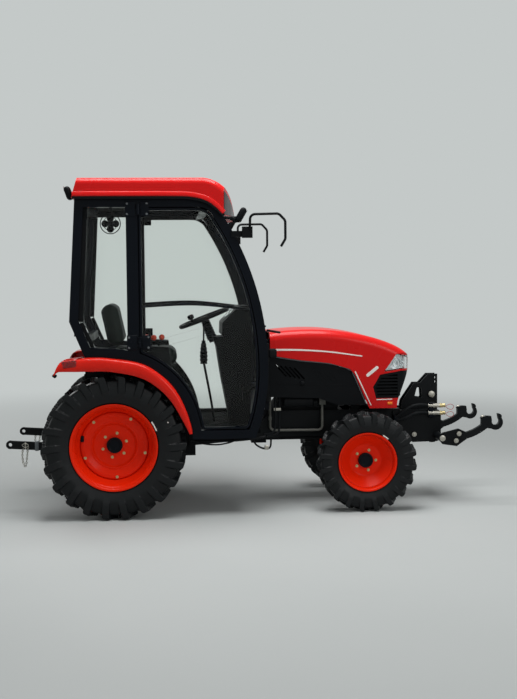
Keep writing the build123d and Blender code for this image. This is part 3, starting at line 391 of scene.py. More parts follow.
# %% Camera
YAW, PITCH, ROLL = np.radians((4.63, -3.37, -0.51))
CAMERA_PLACE = (341, -7619, 1474)
SENSOR_MM, FOCAL_PIXELS, PICTURE_PIXELS, FARTHEST = 36, 1128, 699, 200
ahead = np.array([np.sin(YAW) * np.cos(PITCH), np.cos(YAW) * np.cos(PITCH), np.sin(PITCH)])
right = np.array([np.cos(YAW), -np.sin(YAW), 0])
above = np.cross(right, ahead)
right, above = right * np.cos(ROLL) + above * np.sin(ROLL), above * np.cos(ROLL) - right * np.sin(ROLL)
eye = bpy.data.cameras.new("camera")
eye.lens, eye.clip_end = SENSOR_MM * FOCAL_PIXELS / PICTURE_PIXELS, FARTHEST
camera = placed("camera", eye)
stand(camera, right, above, -ahead, CAMERA_PLACE)
bpy.context.scene.camera = camera

# %% [markdown]
# The studio: a wide pale floor, an even pale surround, a large soft lamp overhead and two weak side lamps.
# The surround shows its own colour to the camera, to gloss and to glass, and lights all else more softly.

# %% Floor and light
SURROUND, AMBIENT = "C4C9C8", 0.30
SHOWN_TO = ("Is Camera Ray", "Is Glossy Ray", "Is Transmission Ray")
FLOOR_REACH = 60000
FADE_START, FADE_END = 2.2, 9.0    # metres from the middle where the floor turns into the surround
# Place, aim, size in metres and power in watts
LAMPS = {"overhead": ((800, -700, 5200), (900, 0, 600), 3.0, 300),
         "front_fill": ((4200, -5200, 3200), (1300, 0, 900), 2.6, 70),
         "rear_fill": ((-2600, 5200, 3600), (600, 0, 900), 2.6, 70)}


def rays_seen(tree, *kinds):
    """One for a ray of any of the named kinds, otherwise zero."""
    path = add(tree, "LightPath")
    seen = path.outputs[kinds[0]]
    for kind in kinds[1:]:
        seen = add(tree, "Math", {0: seen, 1: path.outputs[kind]}, operation="MAXIMUM").outputs[0]
    return seen


world = bpy.data.worlds.new("studio")
bpy.context.scene.world = world
world.use_nodes = True
sky = world.node_tree
sky.nodes.clear()
shown = add(sky, "Background", {"Color": linear(SURROUND), "Strength": 1.0})
lit = add(sky, "Background", {"Color": (1, 1, 1, 1), "Strength": AMBIENT})
mixed = add(sky, "MixShader", {0: rays_seen(sky, *SHOWN_TO), 1: lit.outputs[0], 2: shown.outputs[0]})
add(sky, "OutputWorld", {"Surface": mixed.outputs[0]})

floor_finish = finish("pale_grey_floor", "B0B4B3", "A9ADAC", 0.9, 2600, 40, 0.2, DULL)
tree = floor_finish.node_tree
spot = add(tree, "TexCoord").outputs["Object"]
away = add(tree, "VectorMath", {0: spot}, operation="LENGTH")
far = add(tree, "MapRange", {"Value": away.outputs[1], "From Min": FADE_START, "From Max": FADE_END},
          interpolation_type="SMOOTHSTEP")
fade = add(tree, "Math", {0: far.outputs[0], 1: rays_seen(tree, *SHOWN_TO)}, operation="MULTIPLY")
glow = add(tree, "Emission", {"Color": linear(SURROUND), "Strength": 1.0})
output = next(n for n in tree.nodes if n.type == "OUTPUT_MATERIAL")
plain = output.inputs["Surface"].links[0].from_socket
blend = add(tree, "MixShader", {0: fade.outputs[0], 1: plain, 2: glow.outputs[0]})
tree.links.new(blend.outputs[0], output.inputs["Surface"])

reach = np.linspace(0, 1, 40)[:, None] ** 2 * FLOOR_REACH
turn = np.linspace(0, 2 * np.pi, 64, endpoint=False)[None, :]
disc = np.stack([MIDDLE + reach * np.cos(turn), reach * np.sin(turn), 0 * reach * turn], -1)
ground = mesh_of("floor", [surface(disc, wrap_columns=True)])
ground.materials.append(floor_finish)
floor = placed("floor", ground)

for name, (spot, aim, size, power) in LAMPS.items():
    lamp = bpy.data.lights.new(name, "AREA")
    lamp.size, lamp.energy = size, power
    back = unit(np.subtract(spot, aim))
    across = unit(np.cross(AXLE, back))
    stand(placed(name, lamp), across, np.cross(back, across), back, spot)
bpy.context.scene.view_settings.view_transform = "Standard"

# %% [markdown]
# Tyres. A farm tyre is a smooth carcass with tall slanted bars, set in chevrons, that run over its shoulder.
# One grid makes it: angle round the axle by place across the section. Each point slides from the carcass
# to the bar line by a mask, one inside a bar and zero between bars, so bars and carcass are one skin.

# %% Tyres
WHEELS = {"rear": dict(x=0, y=-500, radius=455, width=220, rim=275, bars=22),
          "front": dict(x=1615, y=-455, radius=320, width=156, rim=190, bars=20)}
BAR_ANGLE = np.radians(40)


def ease(t):
    """Smooth step from 0 to 1: 3 t squared minus 2 t cubed."""
    t = np.clip(t, 0, 1)
    return t * t * (3 - 2 * t)


def bar_tyre(x, y, radius, width, rim, bars):
    """Grid over angle and section: carcass + mask * (bar line - carcass), turned about the axle."""
    crown, flange, seat = 0.942 * radius, rim + 4, 0.937 * rim
    rise = crown - flange
    low = [(0.30 * width, seat), (0.337 * width, seat), (0.342 * width, flange - 3),
           (0.372 * width, flange + 4), (0.378 * width, flange + 9), (0.45 * width, flange + 0.33 * rise)]
    carcass = low + [(0.454 * width, flange + 0.50 * rise), (0.440 * width, flange + 0.68 * rise),
                     (0.398 * width, crown - 0.032 * radius), (0.33 * width, crown - 0.010 * radius),
                     (0.22 * width, crown - 0.002 * radius), (0, crown)]
    tread = low + [(0.482 * width, flange + 0.46 * rise), (0.4985 * width, flange + 0.62 * rise),
                   (0.492 * width, 0.966 * radius), (0.445 * width, 0.992 * radius),
                   (0.22 * width, 0.998 * radius), (0, radius)]
    halves = [curve(line, 38) for line in (carcass, tread)]
    body, lug = [np.concatenate([h, (h * (-1, 1))[-2::-1]])[None] for h in halves]
    a = np.linspace(0, 2 * np.pi, bars * 32, endpoint=False)[:, None]
    side, out = np.sign(body[..., 0]), np.abs(body[..., 0])
    pitch = 2 * np.pi / bars
    lean = np.tan(BAR_ANGLE) * (out - width / 4) / radius
    off = ((a - lean) / pitch + 0.25 * side + 0.5) % 1 - 0.5
    wide = 0.036 * radius * (0.8 + 0.5 * out / width + 0.75 * ease((out / width - 0.30) / 0.15))
    mask = ease((wide - np.abs(off) * pitch * radius) / (0.016 * radius) + 0.5) * ease(out / (0.03 * width))
    section = body + mask[..., None] * (lug - body)
    across, reach = section[..., 0], section[..., 1]
    points = np.stack([x + reach * np.sin(a), y + across, radius + reach * np.cos(a)], -1)
    return surface(points, wrap_rows=True, wrap_columns=True)


for end, size in WHEELS.items():
    skin = bar_tyre(**size)
    for side in SIDES:
        tag = end + "_" + side
        piece("tyre_" + tag + "_rubber", for_side([skin], side), rubber, "wheel_" + tag, ["tyre_" + tag],
              sharp=50)
    print(end, "tyre corners", len(skin[0]))

# %% [markdown]
# Wheels. The rear wheel is a rolled barrel with a step, and a pressed disc that dips towards the hub.
# The front one is a plain bowl. Both are profiles turned about the axle, with rounded corners as in pressing.

# %% Wheels, hubs and bolts
# Distance inwards from the wheel's middle plane, and radius
REAR_BARREL = [(-84, 275), (-84, 267), (-77, 258), (-63, 254), (-57, 246), (-30, 240), (2, 221), (9, 217),
               (26, 217), (42, 240), (52, 249), (76, 257), (84, 267), (84, 275), (77, 275), (76, 254),
               (52, 252.5), (-52, 252.5), (-76, 254), (-77, 275)]
REAR_DISC = [(50, 0), (50, 126), (46, 132), (33, 141), (31, 146), (35, 152), (18, 184), (14, 190), (14, 209),
             (19, 213), (28, 218), (28, 226), (34, 226), (34, 218), (24, 208), (22, 194), (52, 150),
             (58, 142), (58, 0)]
FRONT_BARREL = [(-62, 190), (-62, 183), (-54, 175), (-36, 171), (-10, 168), (30, 168), (36, 172), (54, 176),
                (62, 183), (62, 190), (54, 190), (53, 174.5), (-53, 174.5), (-54, 190)]
FRONT_DISC = [(37, 0), (37, 98), (33, 106), (-22, 160), (-30, 168.5), (-22, 170), (-12, 164), (41, 110),
              (45, 100), (45, 0)]
# Hub radius, hub face, bolt circle, count of bolts, bolt seat, first bolt's degrees from the top
HUBS = {"rear": (50, 28, 78, 6, 50, 12), "front": (48, 16, 68, 5, 37, 20)}
RIM_SEAT, RIM_BOLTS = 14, (198, 5, 32)    # seat, then bolt circle, count and first angle as above
BOLT_SIZE = 6.5
LABELS = {"rear": (56, 69), "front": (30, 42)}    # degrees from the top, on the bead of the tyre
DOT_WAY = np.array((np.sin(1.14), 0, np.cos(1.14)))    # from the hub to the dot on the tyre's side


def ring_of_bolts(x, y, z, radius, count, start, size):
    """Bolt heads on a circle, the first one turned by the start angle from the top, facing outwards."""
    turns = np.radians(start + 360 / count * np.arange(count))
    return [p for t in turns for p in
            hexagon_bolt((x + radius * np.sin(t), y, z + radius * np.cos(t)), OUTWARD, size, 9)]


for end, barrel, disc in (("rear", REAR_BARREL, REAR_DISC), ("front", FRONT_BARREL, FRONT_DISC)):
    size = WHEELS[end]
    x, y, z = centre = np.array((size["x"], size["y"], size["radius"]), float)
    pressed = [turned(rounded(barrel + barrel[:1], 5), centre, AXLE, 96),
               turned(rounded(disc, 6, closed=False), centre, AXLE, 96)]
    hub, face, bolt_circle, count, seat_y, start = HUBS[end]
    dome = [(seat_y + 1, hub), (face, hub), (face, hub - 12), (face + 5, hub - 15), (face + 5, 0)]
    cap = [turned(rounded(dome, 4, closed=False), centre, AXLE, 48)]
    bolts = ring_of_bolts(x, y + seat_y, z, bolt_circle, count, start, BOLT_SIZE)
    if end == "rear":
        bolts += ring_of_bolts(x, y + RIM_SEAT, z, *RIM_BOLTS, BOLT_SIZE)
        # A small black block on the rear disc: painted shade, standing in for the dark inside of the valve
        # hole.
        cap.append(pad((11, 6, 20), 5.9, (x - 201, y + 10, z + 48)))
    label = np.radians(np.linspace(*LABELS[end], 12))
    label = centre + 1.04 * size["rim"] * np.stack([np.sin(label), 0 * label, np.cos(label)], 1)
    spot = 0.82 * size["radius"] * DOT_WAY
    mark = [swept(label - (0, 0.386 * size["width"], 0), oblong(4, -2, 2), OUTWARD),
            pad((4, 3, 4), 2.9, centre + spot - (0, 0.452 * size["width"], 0))]
    for side in SIDES:
        tag = end + "_" + side
        body = "wheel_" + tag
        piece("rim_" + tag + "_pressed", for_side(pressed, side), wheel_enamel, body, ["rim_" + tag])
        piece("hub_" + tag + "_cap", for_side(cap, side), black_enamel, body)
        piece("wheel_bolts_" + tag, for_side(bolts, side), brass, body)
        piece("tyre_mark_" + tag, for_side(mark, side), pale_vinyl, body)

# %% [markdown]
# Fenders. Each is one pressed sheet: a flat top that meets the cab, a round shoulder, an outer face, a lip.
# The section is a row of places between the upper and the lower edge, carried along both edges together.

# %% Fenders
UPPER_EDGE = [(-361, 919), (-338, 972), (-306, 1002), (-226, 1012), (-134, 1021), (-12, 1014), (172, 981),
              (294, 911), (386, 816), (446, 702), (482, 595), (492, 540)]
LOWER_EDGE = [(-358, 914), (-336, 934), (-310, 937), (-226, 936), (-134, 936), (-12, 933), (160, 897),
              (272, 834), (356, 748), (415, 650), (456, 570), (472, 536)]
TAIL_INNER, TAIL_FRONT = -394, -184
# Share of the way down from the upper to the lower edge, and the width there
FENDER_SECTION = [(0.00, -560), (0.00, -600), (0.05, -614), (0.17, -622), (0.34, -625), (0.62, -625.5),
                  (0.86, -624), (0.97, -620), (1.00, -613), (0.97, -604), (0.82, -608), (0.30, -608),
                  (0.13, -596), (0.10, -560)]


def fender_skin(section, count):
    """Section points between two edges: upper + share * (lower - upper), with the width beside them."""
    top, low = curve(UPPER_EDGE, count), curve(LOWER_EDGE, count)
    share, wide = np.array(section).T
    flat = top[:, None] + share[None, :, None] * (low - top)[:, None]
    return np.stack([flat[..., 0], wide[None, :] + 0 * flat[..., 0], flat[..., 1]], -1)


rings = fender_skin(FENDER_SECTION, 72)
tail = fender_skin([(0.0, TAIL_INNER), (0.0, -600), (0.1, -600), (0.1, TAIL_INNER)], 72)
tail = tail[tail[:, 0, 0] < TAIL_FRONT]
fender = [lofted(rings), lofted(tail)]
tip = pad((13, 26, 10), 7, (-356, -590, 912), 35)
lens = [pad((44, 60, 22), 8, (-262, -568, 983), -7)]
shade = [pad((50, 64, 27), 9, (-260, -561, 981), -7)]
# The fenders take the brightened red, whose extra brightness is a painted highlight.
for side in SIDES:
    piece("fender_" + side + "_pressed", for_side(fender, side), fender_red_with_painted_highlight, "tractor", ["fender_" + side])
fitting("fender_tips", both([tip]), seal_rubber)
piece("tail_lamp_lenses", both(lens), lens_red, "tractor", ["tail_lamps"])
fitting("tail_lamp_holders", both(shade), red_enamel)

# %% [markdown]
# Bonnet trim. Cut vinyl lines lie flat on the sheet: a thin strip runs along each one and narrows at its end.
# Lamps have a bright bowl behind the clear lens, so light comes back out of them.

# %% Stripes, lamps and panel trim
BONNET_SIDE, PANEL_SIDE = -275.6, -258


def strip(points, width, y=BONNET_SIDE, thick=0.9, taper=1.0, count=24):
    """Flat strip on a side face along a line (x, z); its width runs from full to a share at the end."""
    path = at_width(curve(points, count), y)
    flat = rounded(oblong(width / 2, 0, thick), 0.3, 2)
    return swept(path, flat, OUTWARD, scale=np.linspace(1, taper, count))


def rounded_strip(start, end, width, y=BONNET_SIDE, thick=1.0):
    """Short bar with round ends on a side face: the strip's width follows a half circle near each end."""
    t = np.linspace(-1, 1, 33)
    middle, half_run = np.add(start, end) / 2, np.subtract(end, start) / 2
    path = at_width(middle + t[:, None] * half_run, y)
    from_end = (1 - np.abs(t)) * np.linalg.norm(half_run)
    arc = np.sqrt(np.clip(1 - (1 - np.minimum(from_end / (width / 2), 1)) ** 2, 0.002, 1))
    return swept(path, oblong(width / 2, 0, thick), OUTWARD, scale=arc)


stripes = [strip([(1046, 1036), (1208, 1033), (1407, 1018), (1622, 987)], 13, taper=0.55),
           strip([(1574, 886), (1680, 660)], 8, taper=0.7),
           rounded_strip((1650, 854), (1728, 916), 21),
           strip([(1716, 697), (1822, 699)], 6)]
piece("bonnet_stripes", both(stripes), pale_vinyl, "bonnet")
piece("front_indicators", both([pad((17, 5, 9), 4, (1806, -274, 672))]), lens_amber, "bonnet")
edge = [(1012, 996), (1077, 984), (1209, 962), (1408, 939), (1537, 899), (1569, 858), (1648, 672)]
piece("panel_trim", both([strip(edge, 7, y=PANEL_SIDE, thick=3, count=60)]), grey_trim, "tractor")
seam = [strip([(1014, 815), (1640, 790)], 3, y=PANEL_SIDE, thick=1.2)]
knob = [turned([(0, 0), (0, 15), (9, 15), (12, 11), (12, 0)], (1225, -262, 812), OUTWARD, 24)]
ribs = [strip([(1300 + 38 * k, 900 - 6 * k), (1352 + 38 * k, 838 - 6 * k)], 9, y=PANEL_SIDE, thick=2.5)
        for k in range(4)]
fitting("panel_ribs", both(seam + knob + ribs), black_abs)

# %% Headlamp bowls and bulbs
around = curve([(1776, -254), (1842, -252), (1890, -226), (1916, -176), (1924, -102)], 30)
low_line = np.interp(around[:, 0], [1776, 1880, 1930], [888, 902, 903])
high_line = np.interp(around[:, 0], [1776, 1852, 1930], [896, 994, 984])
rise = np.linspace(0, 1, 14)[None, :]
inward = unit(np.gradient(around, axis=0))[:, None, ::-1].transpose(2, 0, 1)
dish = 9 * np.cos(np.linspace(-1.5, 1.5, 14))[None, :] * inward
level = low_line[:, None] + rise * (high_line - low_line)[:, None]
bowl = np.stack([around[:, :1] - dish[0], around[:, 1:] + dish[1], level], -1)
bulb_places = [((1902, -190, 945), (0.75, -0.66, 0)), ((1921, -128, 942), (0.97, -0.25, 0)),
               ((1858, -236, 935), (0.3, -0.95, 0))]
cup = [(-2, 32), (4, 33), (6, 29), (-10, 20), (-14, 0)]
cups = [turned(cup, p, a, 32) for p, a in bulb_places]
bulbs = [turned([(-13, 0), (-13, 9), (1, 9), (6, 5), (7, 0)], p, a, 20) for p, a in bulb_places]
piece("headlamp_bowls", both([surface(bowl)]), bowl_finish, "bonnet", sharp=60)
piece("headlamp_cups", both(cups), silvered, "bonnet")
piece("headlamp_bulbs", both(bulbs), lens_clear, "bonnet")

# %% [markdown]
# Roof and cab trim. A lip and a black gutter run along the roof's lower edge, and dark maroon panels on its
# front corners paint the shade of the roof's front face. Each door hangs on two bolted hinges whose leaves
# lie on the pillar and on the door.

# %% Roof lip, gutter and painted shade on the front corners
ROOF_EDGE = [(-230, 2030), (60, 2030), (380, 2029), (500, 2024), (592, 2002), (655, 1962), (702, 1914)]
LIP_SECTION = [(-15, -3), (15, -3), (15, 4), (10, 8.5), (-9, 8.5), (-15, 4)]
ROOF_HALF, GUTTER_DROP, PANEL_FOOT = 585, 21, 1903
lip = at_width(curve(ROOF_EDGE, 60), -ROOF_HALF)
fitting("roof_lip", both([swept(lip, LIP_SECTION, OUTWARD)]), red_enamel)
gutter = lip - (0, 0, GUTTER_DROP)
fitting("roof_gutter", both([swept(gutter, oblong(9, -3, 5), OUTWARD)]), seal_rubber)
# Dark maroon sheets on the roof's front corners: painted shade, standing in for the roof's front face turned
# away from the light.
wide = np.linspace(-574, -230, 40)[:, None]
plan = 800 - 100 * (wide / ROOF_HALF) ** 2
crown = np.interp(plan, [690, 735, 765, 800], [2088, 2040, 1990, 1895])
up = np.linspace(0, 1, 16)[None, :]
level = PANEL_FOOT + up * np.maximum(crown - 22 - PANEL_FOOT, 2)
panel = np.stack([plan + 3 + 0 * up, wide + 0 * up, level], -1)
fitting("roof_front_painted_shade_panels", both([surface(panel)]), roof_front_painted_shade)

# %% Door hinges and pillar fittings
HINGE_FOOT = (1066, 1896)
for side in SIDES:
    for tag, body, x_low, x_high, bolt_x in (("pillar", "tractor", 91, 157, 104),
                                             ("door", "door_" + side, 185, 238, 225)):
        half = (x_high - x_low) / 2
        leaves = [pad((half, 3, 46), 2.9, (x_low + half, -557, z + 44)) for z in HINGE_FOOT]
        bolts = [p for z in HINGE_FOOT for dz in (12, 76)
                 for p in hexagon_bolt((bolt_x, -559.5, z + dz), OUTWARD, 5, 4)]
        tag += "_" + side
        piece("hinge_leaf_" + tag, for_side(leaves, side), black_enamel, body)
        piece("hinge_bolts_" + tag, for_side(bolts, side), grey_trim, body)
base = pad((26, 18, 31), 16, (1004, -536, 1030))
cowl = pad((44, 16, 7), 5, (1012, -520, 1168), 10)
fitting("pillar_fittings", both([base, cowl]), seal_rubber)

# %% [markdown]
# Doors. One closed line is the door's outline on the drawing. A thin frame, a flat pane and the seal behind
# the gap follow it, each drawn in by its own distance, so the door fills its opening and swings on its hinge.

# %% Doors and seals
DOOR_LINE = [(174, 1945), (330, 1945), (502, 1945), (564, 1943), (618, 1912), (652, 1857), (686, 1801),
             (717, 1743), (747, 1684), (774, 1624), (798, 1562), (821, 1500), (841, 1438), (859, 1374),
             (874, 1310), (886, 1245), (897, 1180), (904, 1114), (909, 1049), (912, 986), (913, 923),
             (911, 861), (905, 799), (896, 737), (884, 676), (867, 615), (848, 556), (700, 556), (556, 556),
             (548, 601), (533, 664), (512, 724), (484, 782), (450, 836), (410, 887), (364, 932), (314, 972),
             (260, 1006), (202, 1034), (174, 1045)]
GRAB_RAIL = [(184, -524, 1331), (206, -489, 1335), (520, -489, 1345), (836, -489, 1312), (864, -524, 1304)]
HINGE_SLEEVE = [(32.5, 6.6), (32.5, 11), (64, 11), (64, 6.6), (32.5, 6.6)]
DOOR_HINGE = (171, -566.5)
DOOR_HINGE_FOOT = (1080, 1905)


def inset(outline, distance):
    """Closed clockwise line drawn in: each point moves at right angles to the chord of its neighbours."""
    run = unit(np.roll(outline, -1, 0) - np.roll(outline, 1, 0))
    return outline + distance * np.stack([run[:, 1], -run[:, 0]], 1)


door_line = rounded(DOOR_LINE, 26)
box = rounded(oblong(7, -18, 18), 3, 3)
thin_frame = [swept(at_width(inset(door_line, 7), -537), box, OUTWARD, loop=True), bar(GRAB_RAIL, 9, 60)]
for z in DOOR_HINGE_FOOT:
    thin_frame += [pad((32, 3, 15.5), 2, (204, -558, z + 48)),
                   turned(HINGE_SLEEVE, (*DOOR_HINGE, z), UPWARD, 24)]
pane = [plate(inset(door_line, 9), -541, -535, 0.5)]
seal = [swept(at_width(inset(door_line, 3), -512), oblong(9, -5, 5), OUTWARD, loop=True)]
for side in SIDES:
    body = "door_" + side
    piece(body + "_thin_frame", for_side(thin_frame, side), black_enamel, body, ["door_frame_" + side])
    piece(body + "_pane", for_side(pane, side), glass, body, ["door_glass_" + side])
fitting("door_seals", both(seal), seal_rubber)
print("door corners", len(door_line))

# %% Window edges, cowl fillers and grille screen
frits = [strip([(-156, 1984), (-195, 1243)], 34, y=-534, thick=1.5),
         strip([(-190, 1236), (-120, 1078)], 24, y=-534, thick=1.5)]
fitting("window_frits", both(frits), seal_rubber)
filler = [pad((14, 16, 195), 6, (992, -268, 885))]
fitting("cowl_fillers", both(filler), seal_rubber)
NOSE = [(1702, -248), (1790, -240), (1840, -232), (1876, -206), (1898, -164), (1906, -100), (1908, 0)]
nose = curve(NOSE, 40)
screen = np.stack([np.insert(nose, 2, z, axis=1) for z in (712, 880)])
piece("grille_screen", both([surface(screen)]), seal_rubber, "bonnet")

# %% Work lamps
lamp_bodies = [pad((20, 44, 50), 19, (812, -509, 1902), 30), bar([(700, -524, 1884), (806, -516, 1886)], 9),
               pad((24, 14, 12), 6, (768, -518, 1872), 30), pad((20, 44, 42), 17, (-256, -509, 2040), -20),
               bar([(-228, -509, 2030), (-252, -509, 2036)], 10)]
lamp_faces = [pad((4, 38, 43), 3.9, (828, -509, 1893), 30), pad((4, 38, 35), 3.9, (-272, -509, 2046), -20)]
piece("work_lamp_bodies", both(lamp_bodies), black_abs, "tractor", ["work_lamps"])
fitting("work_lamp_faces", both(lamp_faces), lens_clear)

# %% [markdown]
# Inside the cab: a sprung seat in vinyl, a boot on the steering column, ball knobs on the levers and a fan.
# The seat's pads are blown up as cloth, so their faces swell between the edges as foam under a cover does.

# %% Seat pads
EVEN_MESH, PRESSURE, SWELL, FRAMES = 0.008, 4.0, 0.012, 20
SEAM_SIDE, SEAM_TOP, SEAM_WIDE, SEAM_DEPTH, SEAM_FACE = 120, 70, 7, 7, 10


def seat_pad(name, half, corner, centre, tilt):
    """Rounded box, remeshed evenly, blown up as cloth, each point held within the swell of its start."""
    made = placed(name, mesh_of(name, [pad(half, corner, centre, tilt, 7)]))
    remesh = made.modifiers.new("even", "REMESH")
    remesh.mode, remesh.voxel_size = "VOXEL", EVEN_MESH
    bpy.context.view_layer.objects.active = made
    made.select_set(True)
    bpy.ops.object.modifier_apply(modifier="even")
    start = np.empty(3 * len(made.data.vertices))
    made.data.vertices.foreach_get("co", start)
    cloth = made.modifiers.new("cover", "CLOTH")
    cloth.settings.use_pressure = True
    cloth.settings.uniform_pressure_force = PRESSURE
    cloth.settings.effector_weights.gravity = 0.0
    for number in range(1, FRAMES + 1):
        bpy.context.scene.frame_set(number)
    bpy.ops.object.modifier_apply(modifier="cover")
    bpy.context.scene.frame_set(1)
    swollen = np.empty_like(start)
    made.data.vertices.foreach_get("co", swollen)
    move = (swollen - start).reshape(-1, 3)
    far = np.linalg.norm(move, axis=1, keepdims=True)
    move *= np.minimum(1, SWELL / np.maximum(far, 1e-9))
    places = start.reshape(-1, 3) + move
    local = (places - metres(centre)) * 1000
    c, s = np.cos(np.radians(tilt)), np.sin(np.radians(tilt))
    out, run = local[:, 0] * c - local[:, 2] * s, local[:, 0] * s + local[:, 2] * c
    return made, places, out, np.abs(local[:, 1]), run


def channel(distance):
    """Share of a sewn channel's depth: a bell curve over the distance from its seam."""
    return np.exp(-(distance / SEAM_WIDE) ** 2)


def finish_pad(made, places, groove, direction, node):
    made.data.vertices.foreach_set("co", (places - groove[:, None] / 1000 * np.asarray(direction)).ravel())
    made.data.update()
    made.data.shade_smooth()
    made.data.materials.append(seat_vinyl)
    smooth = made.modifiers.new("smooth", "SUBSURF")
    smooth.levels = smooth.render_levels = 1
    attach(made, "tractor")
    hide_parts(node)


made, places, _, wide, run = seat_pad("seat_cushion_pad", (224, 228, 46), 40, (190, 0, 998), 0)
groove = SEAM_DEPTH * channel(wide - SEAM_SIDE) * (run > SEAM_FACE)
finish_pad(made, places, groove, UPWARD, "seat_cushion")
made, places, out, wide, run = seat_pad("seat_back_pad", (44, 226, 146), 40, (-14, 0, 1208), -12)
lines = channel(wide - SEAM_SIDE) + channel(run - SEAM_TOP) * (wide < SEAM_SIDE + 2)
finish_pad(made, places, SEAM_DEPTH * lines * (out > SEAM_FACE), FORWARD, "seat_back")

# %% Column boot, knobs, dials and fan
TILT = np.radians(21)
column_axis = np.array((-np.sin(TILT), 0, np.cos(TILT)))
hub = np.array((591, 0, 1242.0))
folds = np.linspace(0, 1, 60)
boot = np.stack([-150 + 122 * folds, 33 - 4 * folds + 3 * np.cos(folds * 14 * np.pi)], 1)
fitting("column_boot", [turned(boot, hub, column_axis, 28)], seal_rubber)
rim_spot = hub + 166 * (np.array((-np.cos(TILT), 0, -np.sin(TILT))) * 0.5 + np.array((0, -0.866, 0)))
knob = [turned([(8, 0), (8, 9), (26, 8), (32, 20), (50, 22), (58, 16), (60, 0)], rim_spot, column_axis, 24)]
piece("spinner_knob", knob, black_abs, "steering_wheel")
knobs = [ball((x + 22, y, 1135), 18.5) for x, y in ((190, -400), (235, -455), (285, -410))]
piece("lever_knobs", knobs, orange_knob, "tractor")
slope = np.array((-0.70, 0, 0.714))
dial_middle = np.array((757, 0, 1271.0))
cluster = [turned([(2, 0), (2, r), (6, r), (7, r - 4), (3, r - 5), (3, 0)], dial_middle + (0, y, 0), slope)
           for y, r in ((-95, 38), (0, 50), (95, 38))]
piece("dashboard_dials", cluster, silvered, "tractor")
fan_hub = np.array((-12, -300, 1862.0))
cage = [turned(circle(3, 8) + (0, 64), fan_hub, AXLE, 48),
        turned(circle(2, 8) + (-16, 44), fan_hub, AXLE, 40)]
petal = [(-2, 0), (-2, 23), (2, 23), (2, 0)]
blades = [turned(petal, fan_hub + 34 * np.array((np.cos(t), 0, np.sin(t))), AXLE, 28)
          for t in np.radians((0, 90, 180, 270))]
motor = [turned([(-22, 0), (-22, 12), (18, 24), (42, 24), (46, 0)], fan_hub, AXLE, 28),
         bar([fan_hub + (0, 40, 0), fan_hub + (0, 60, 60), fan_hub + (0, 60, 124)], 8)]
fitting("cab_fan", cage + blades + motor, black_abs)
down = np.linspace(0, 1, 50)
belly = 9 + 16 * np.sin(np.pi * np.minimum(down * 0.62 + 0.06, 1)) + 2 * np.cos(down * 12 * np.pi)
gaiter = np.stack([-155 * down, belly], 1)
lever = [turned(gaiter, (584, -60, 1092), UPWARD, 28), bar([(588, -60, 1214), (584, -60, 1086)], 6),
         bar([(584, -60, 945), (628, -60, 700), (650, -60, 548)], 8, 30)]
fitting("range_lever", lever, black_abs)

# %% [markdown]
# Hydraulics and linkage fittings. Two hoses leave a clamp by the radiator and end in quick couplers on the
# tower, each with a red tether for its dust cap. Zinc heads mark the pins, and bright balls the hook latches.

# %% Couplers, hoses and linkage pins
def hose(name, points, diameter):
    """A hose as a smooth spline drawn towards its route's points; the corners of its bare line are also read
    out.
    """
    line = bpy.data.curves.new(name, "CURVE")
    line.dimensions, line.bevel_depth = "3D", diameter / 2000
    line.bevel_resolution, line.resolution_u = 4, 16
    spline = line.splines.new("NURBS")
    spline.points.add(len(points) - 1)
    spline.points.foreach_set("co", np.append(metres(points), np.ones((len(points), 1)), axis=1).ravel())
    spline.order_u, spline.use_endpoint_u = 3, True
    line.materials.append(hose_rubber)
    made = placed(name, line)
    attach(made, "tractor")
    bare = line.copy()
    bare.bevel_depth = 0
    holder = bpy.data.objects.new(name + "_line", bare)
    route = bpy.data.meshes.new_from_object(holder)
    corners = np.empty(3 * len(route.vertices))
    route.vertices.foreach_get("co", corners)
    bpy.data.objects.remove(holder)


manifold = [pad((20, 15, 50), 4, (2112, -164, 612)), pad((15, 15, 20), 4, (1867, -167, 560))]
sleeve = [(0, 0), (0, 11), (6, 14), (30, 14), (30, 17), (44, 17), (44, 14), (78, 14), (80, 0)]
nozzle = [(0, 0), (0, 15), (12, 15), (14, 12), (30, 12), (34, 15), (38, 13), (38, 0)]
couplers, ends, tethers = [], [], []
for z in (590, 640):
    couplers.append(turned(sleeve, (2088, -168, z), FORWARD, 24))
    ends.append(turned(nozzle, (2166, -168, z), FORWARD, 24))
    tethers.append(bar([(2180, -168, z - 14), (2204, -172, z - 6), (2238, -176, z + 8), (2262, -174, z - 6),
                        (2250, -172, z - 28), (2222, -170, z - 22), (2206, -168, z - 4)], 1.6, 60))
piece("coupler_block", manifold, black_enamel, "tractor", ["front_hoses"])
fitting("quick_couplers", couplers, zinc)
fitting("coupler_ends", ends, brass)
piece("cap_tethers", tethers, red_cord, "tractor")
hose("front_hose_upper", [(1860, -172, 560), (1900, -185, 600), (2010, -190, 660), (2090, -168, 640)], 20)
hose("front_hose_lower", [(1868, -172, 548), (1920, -186, 552), (2015, -188, 606), (2088, -168, 590)], 20)

LIFT_X, LIFT_Z, HOOK_X, HOOK_Z = 2150, 437, 2505, 538
heads = hexagon_bolt((1995, -162, 446), OUTWARD, 11, 9)
heads += [turned([(0, 0), (0, 22), (5, 22), (8, 17), (8, 0)], (2137, -60, 706), OUTWARD, 28)]
fitting("tower_pins", both(heads), zinc)
turning = [turned([(0, 0), (0, 23), (6, 23), (9, 18), (9, 0)], (LIFT_X, -314, LIFT_Z), OUTWARD, 28)]
for x, z in ((LIFT_X + 107, LIFT_Z + 31), (LIFT_X + 88, LIFT_Z - 15)):
    turning += hexagon_bolt((x, -336, z), OUTWARD, 11, 9)
turning += [ball((HOOK_X - 84, -314, HOOK_Z + 36), 14)]
piece("lift_arm_pins", both(turning), zinc, "front_lift_arms")

# %% [markdown]
# At the back, each lower link has a swivel collar and a safety chain that holds its linch pin.
# Chain links are rings drawn out along the chain, and every second one stands across the others.

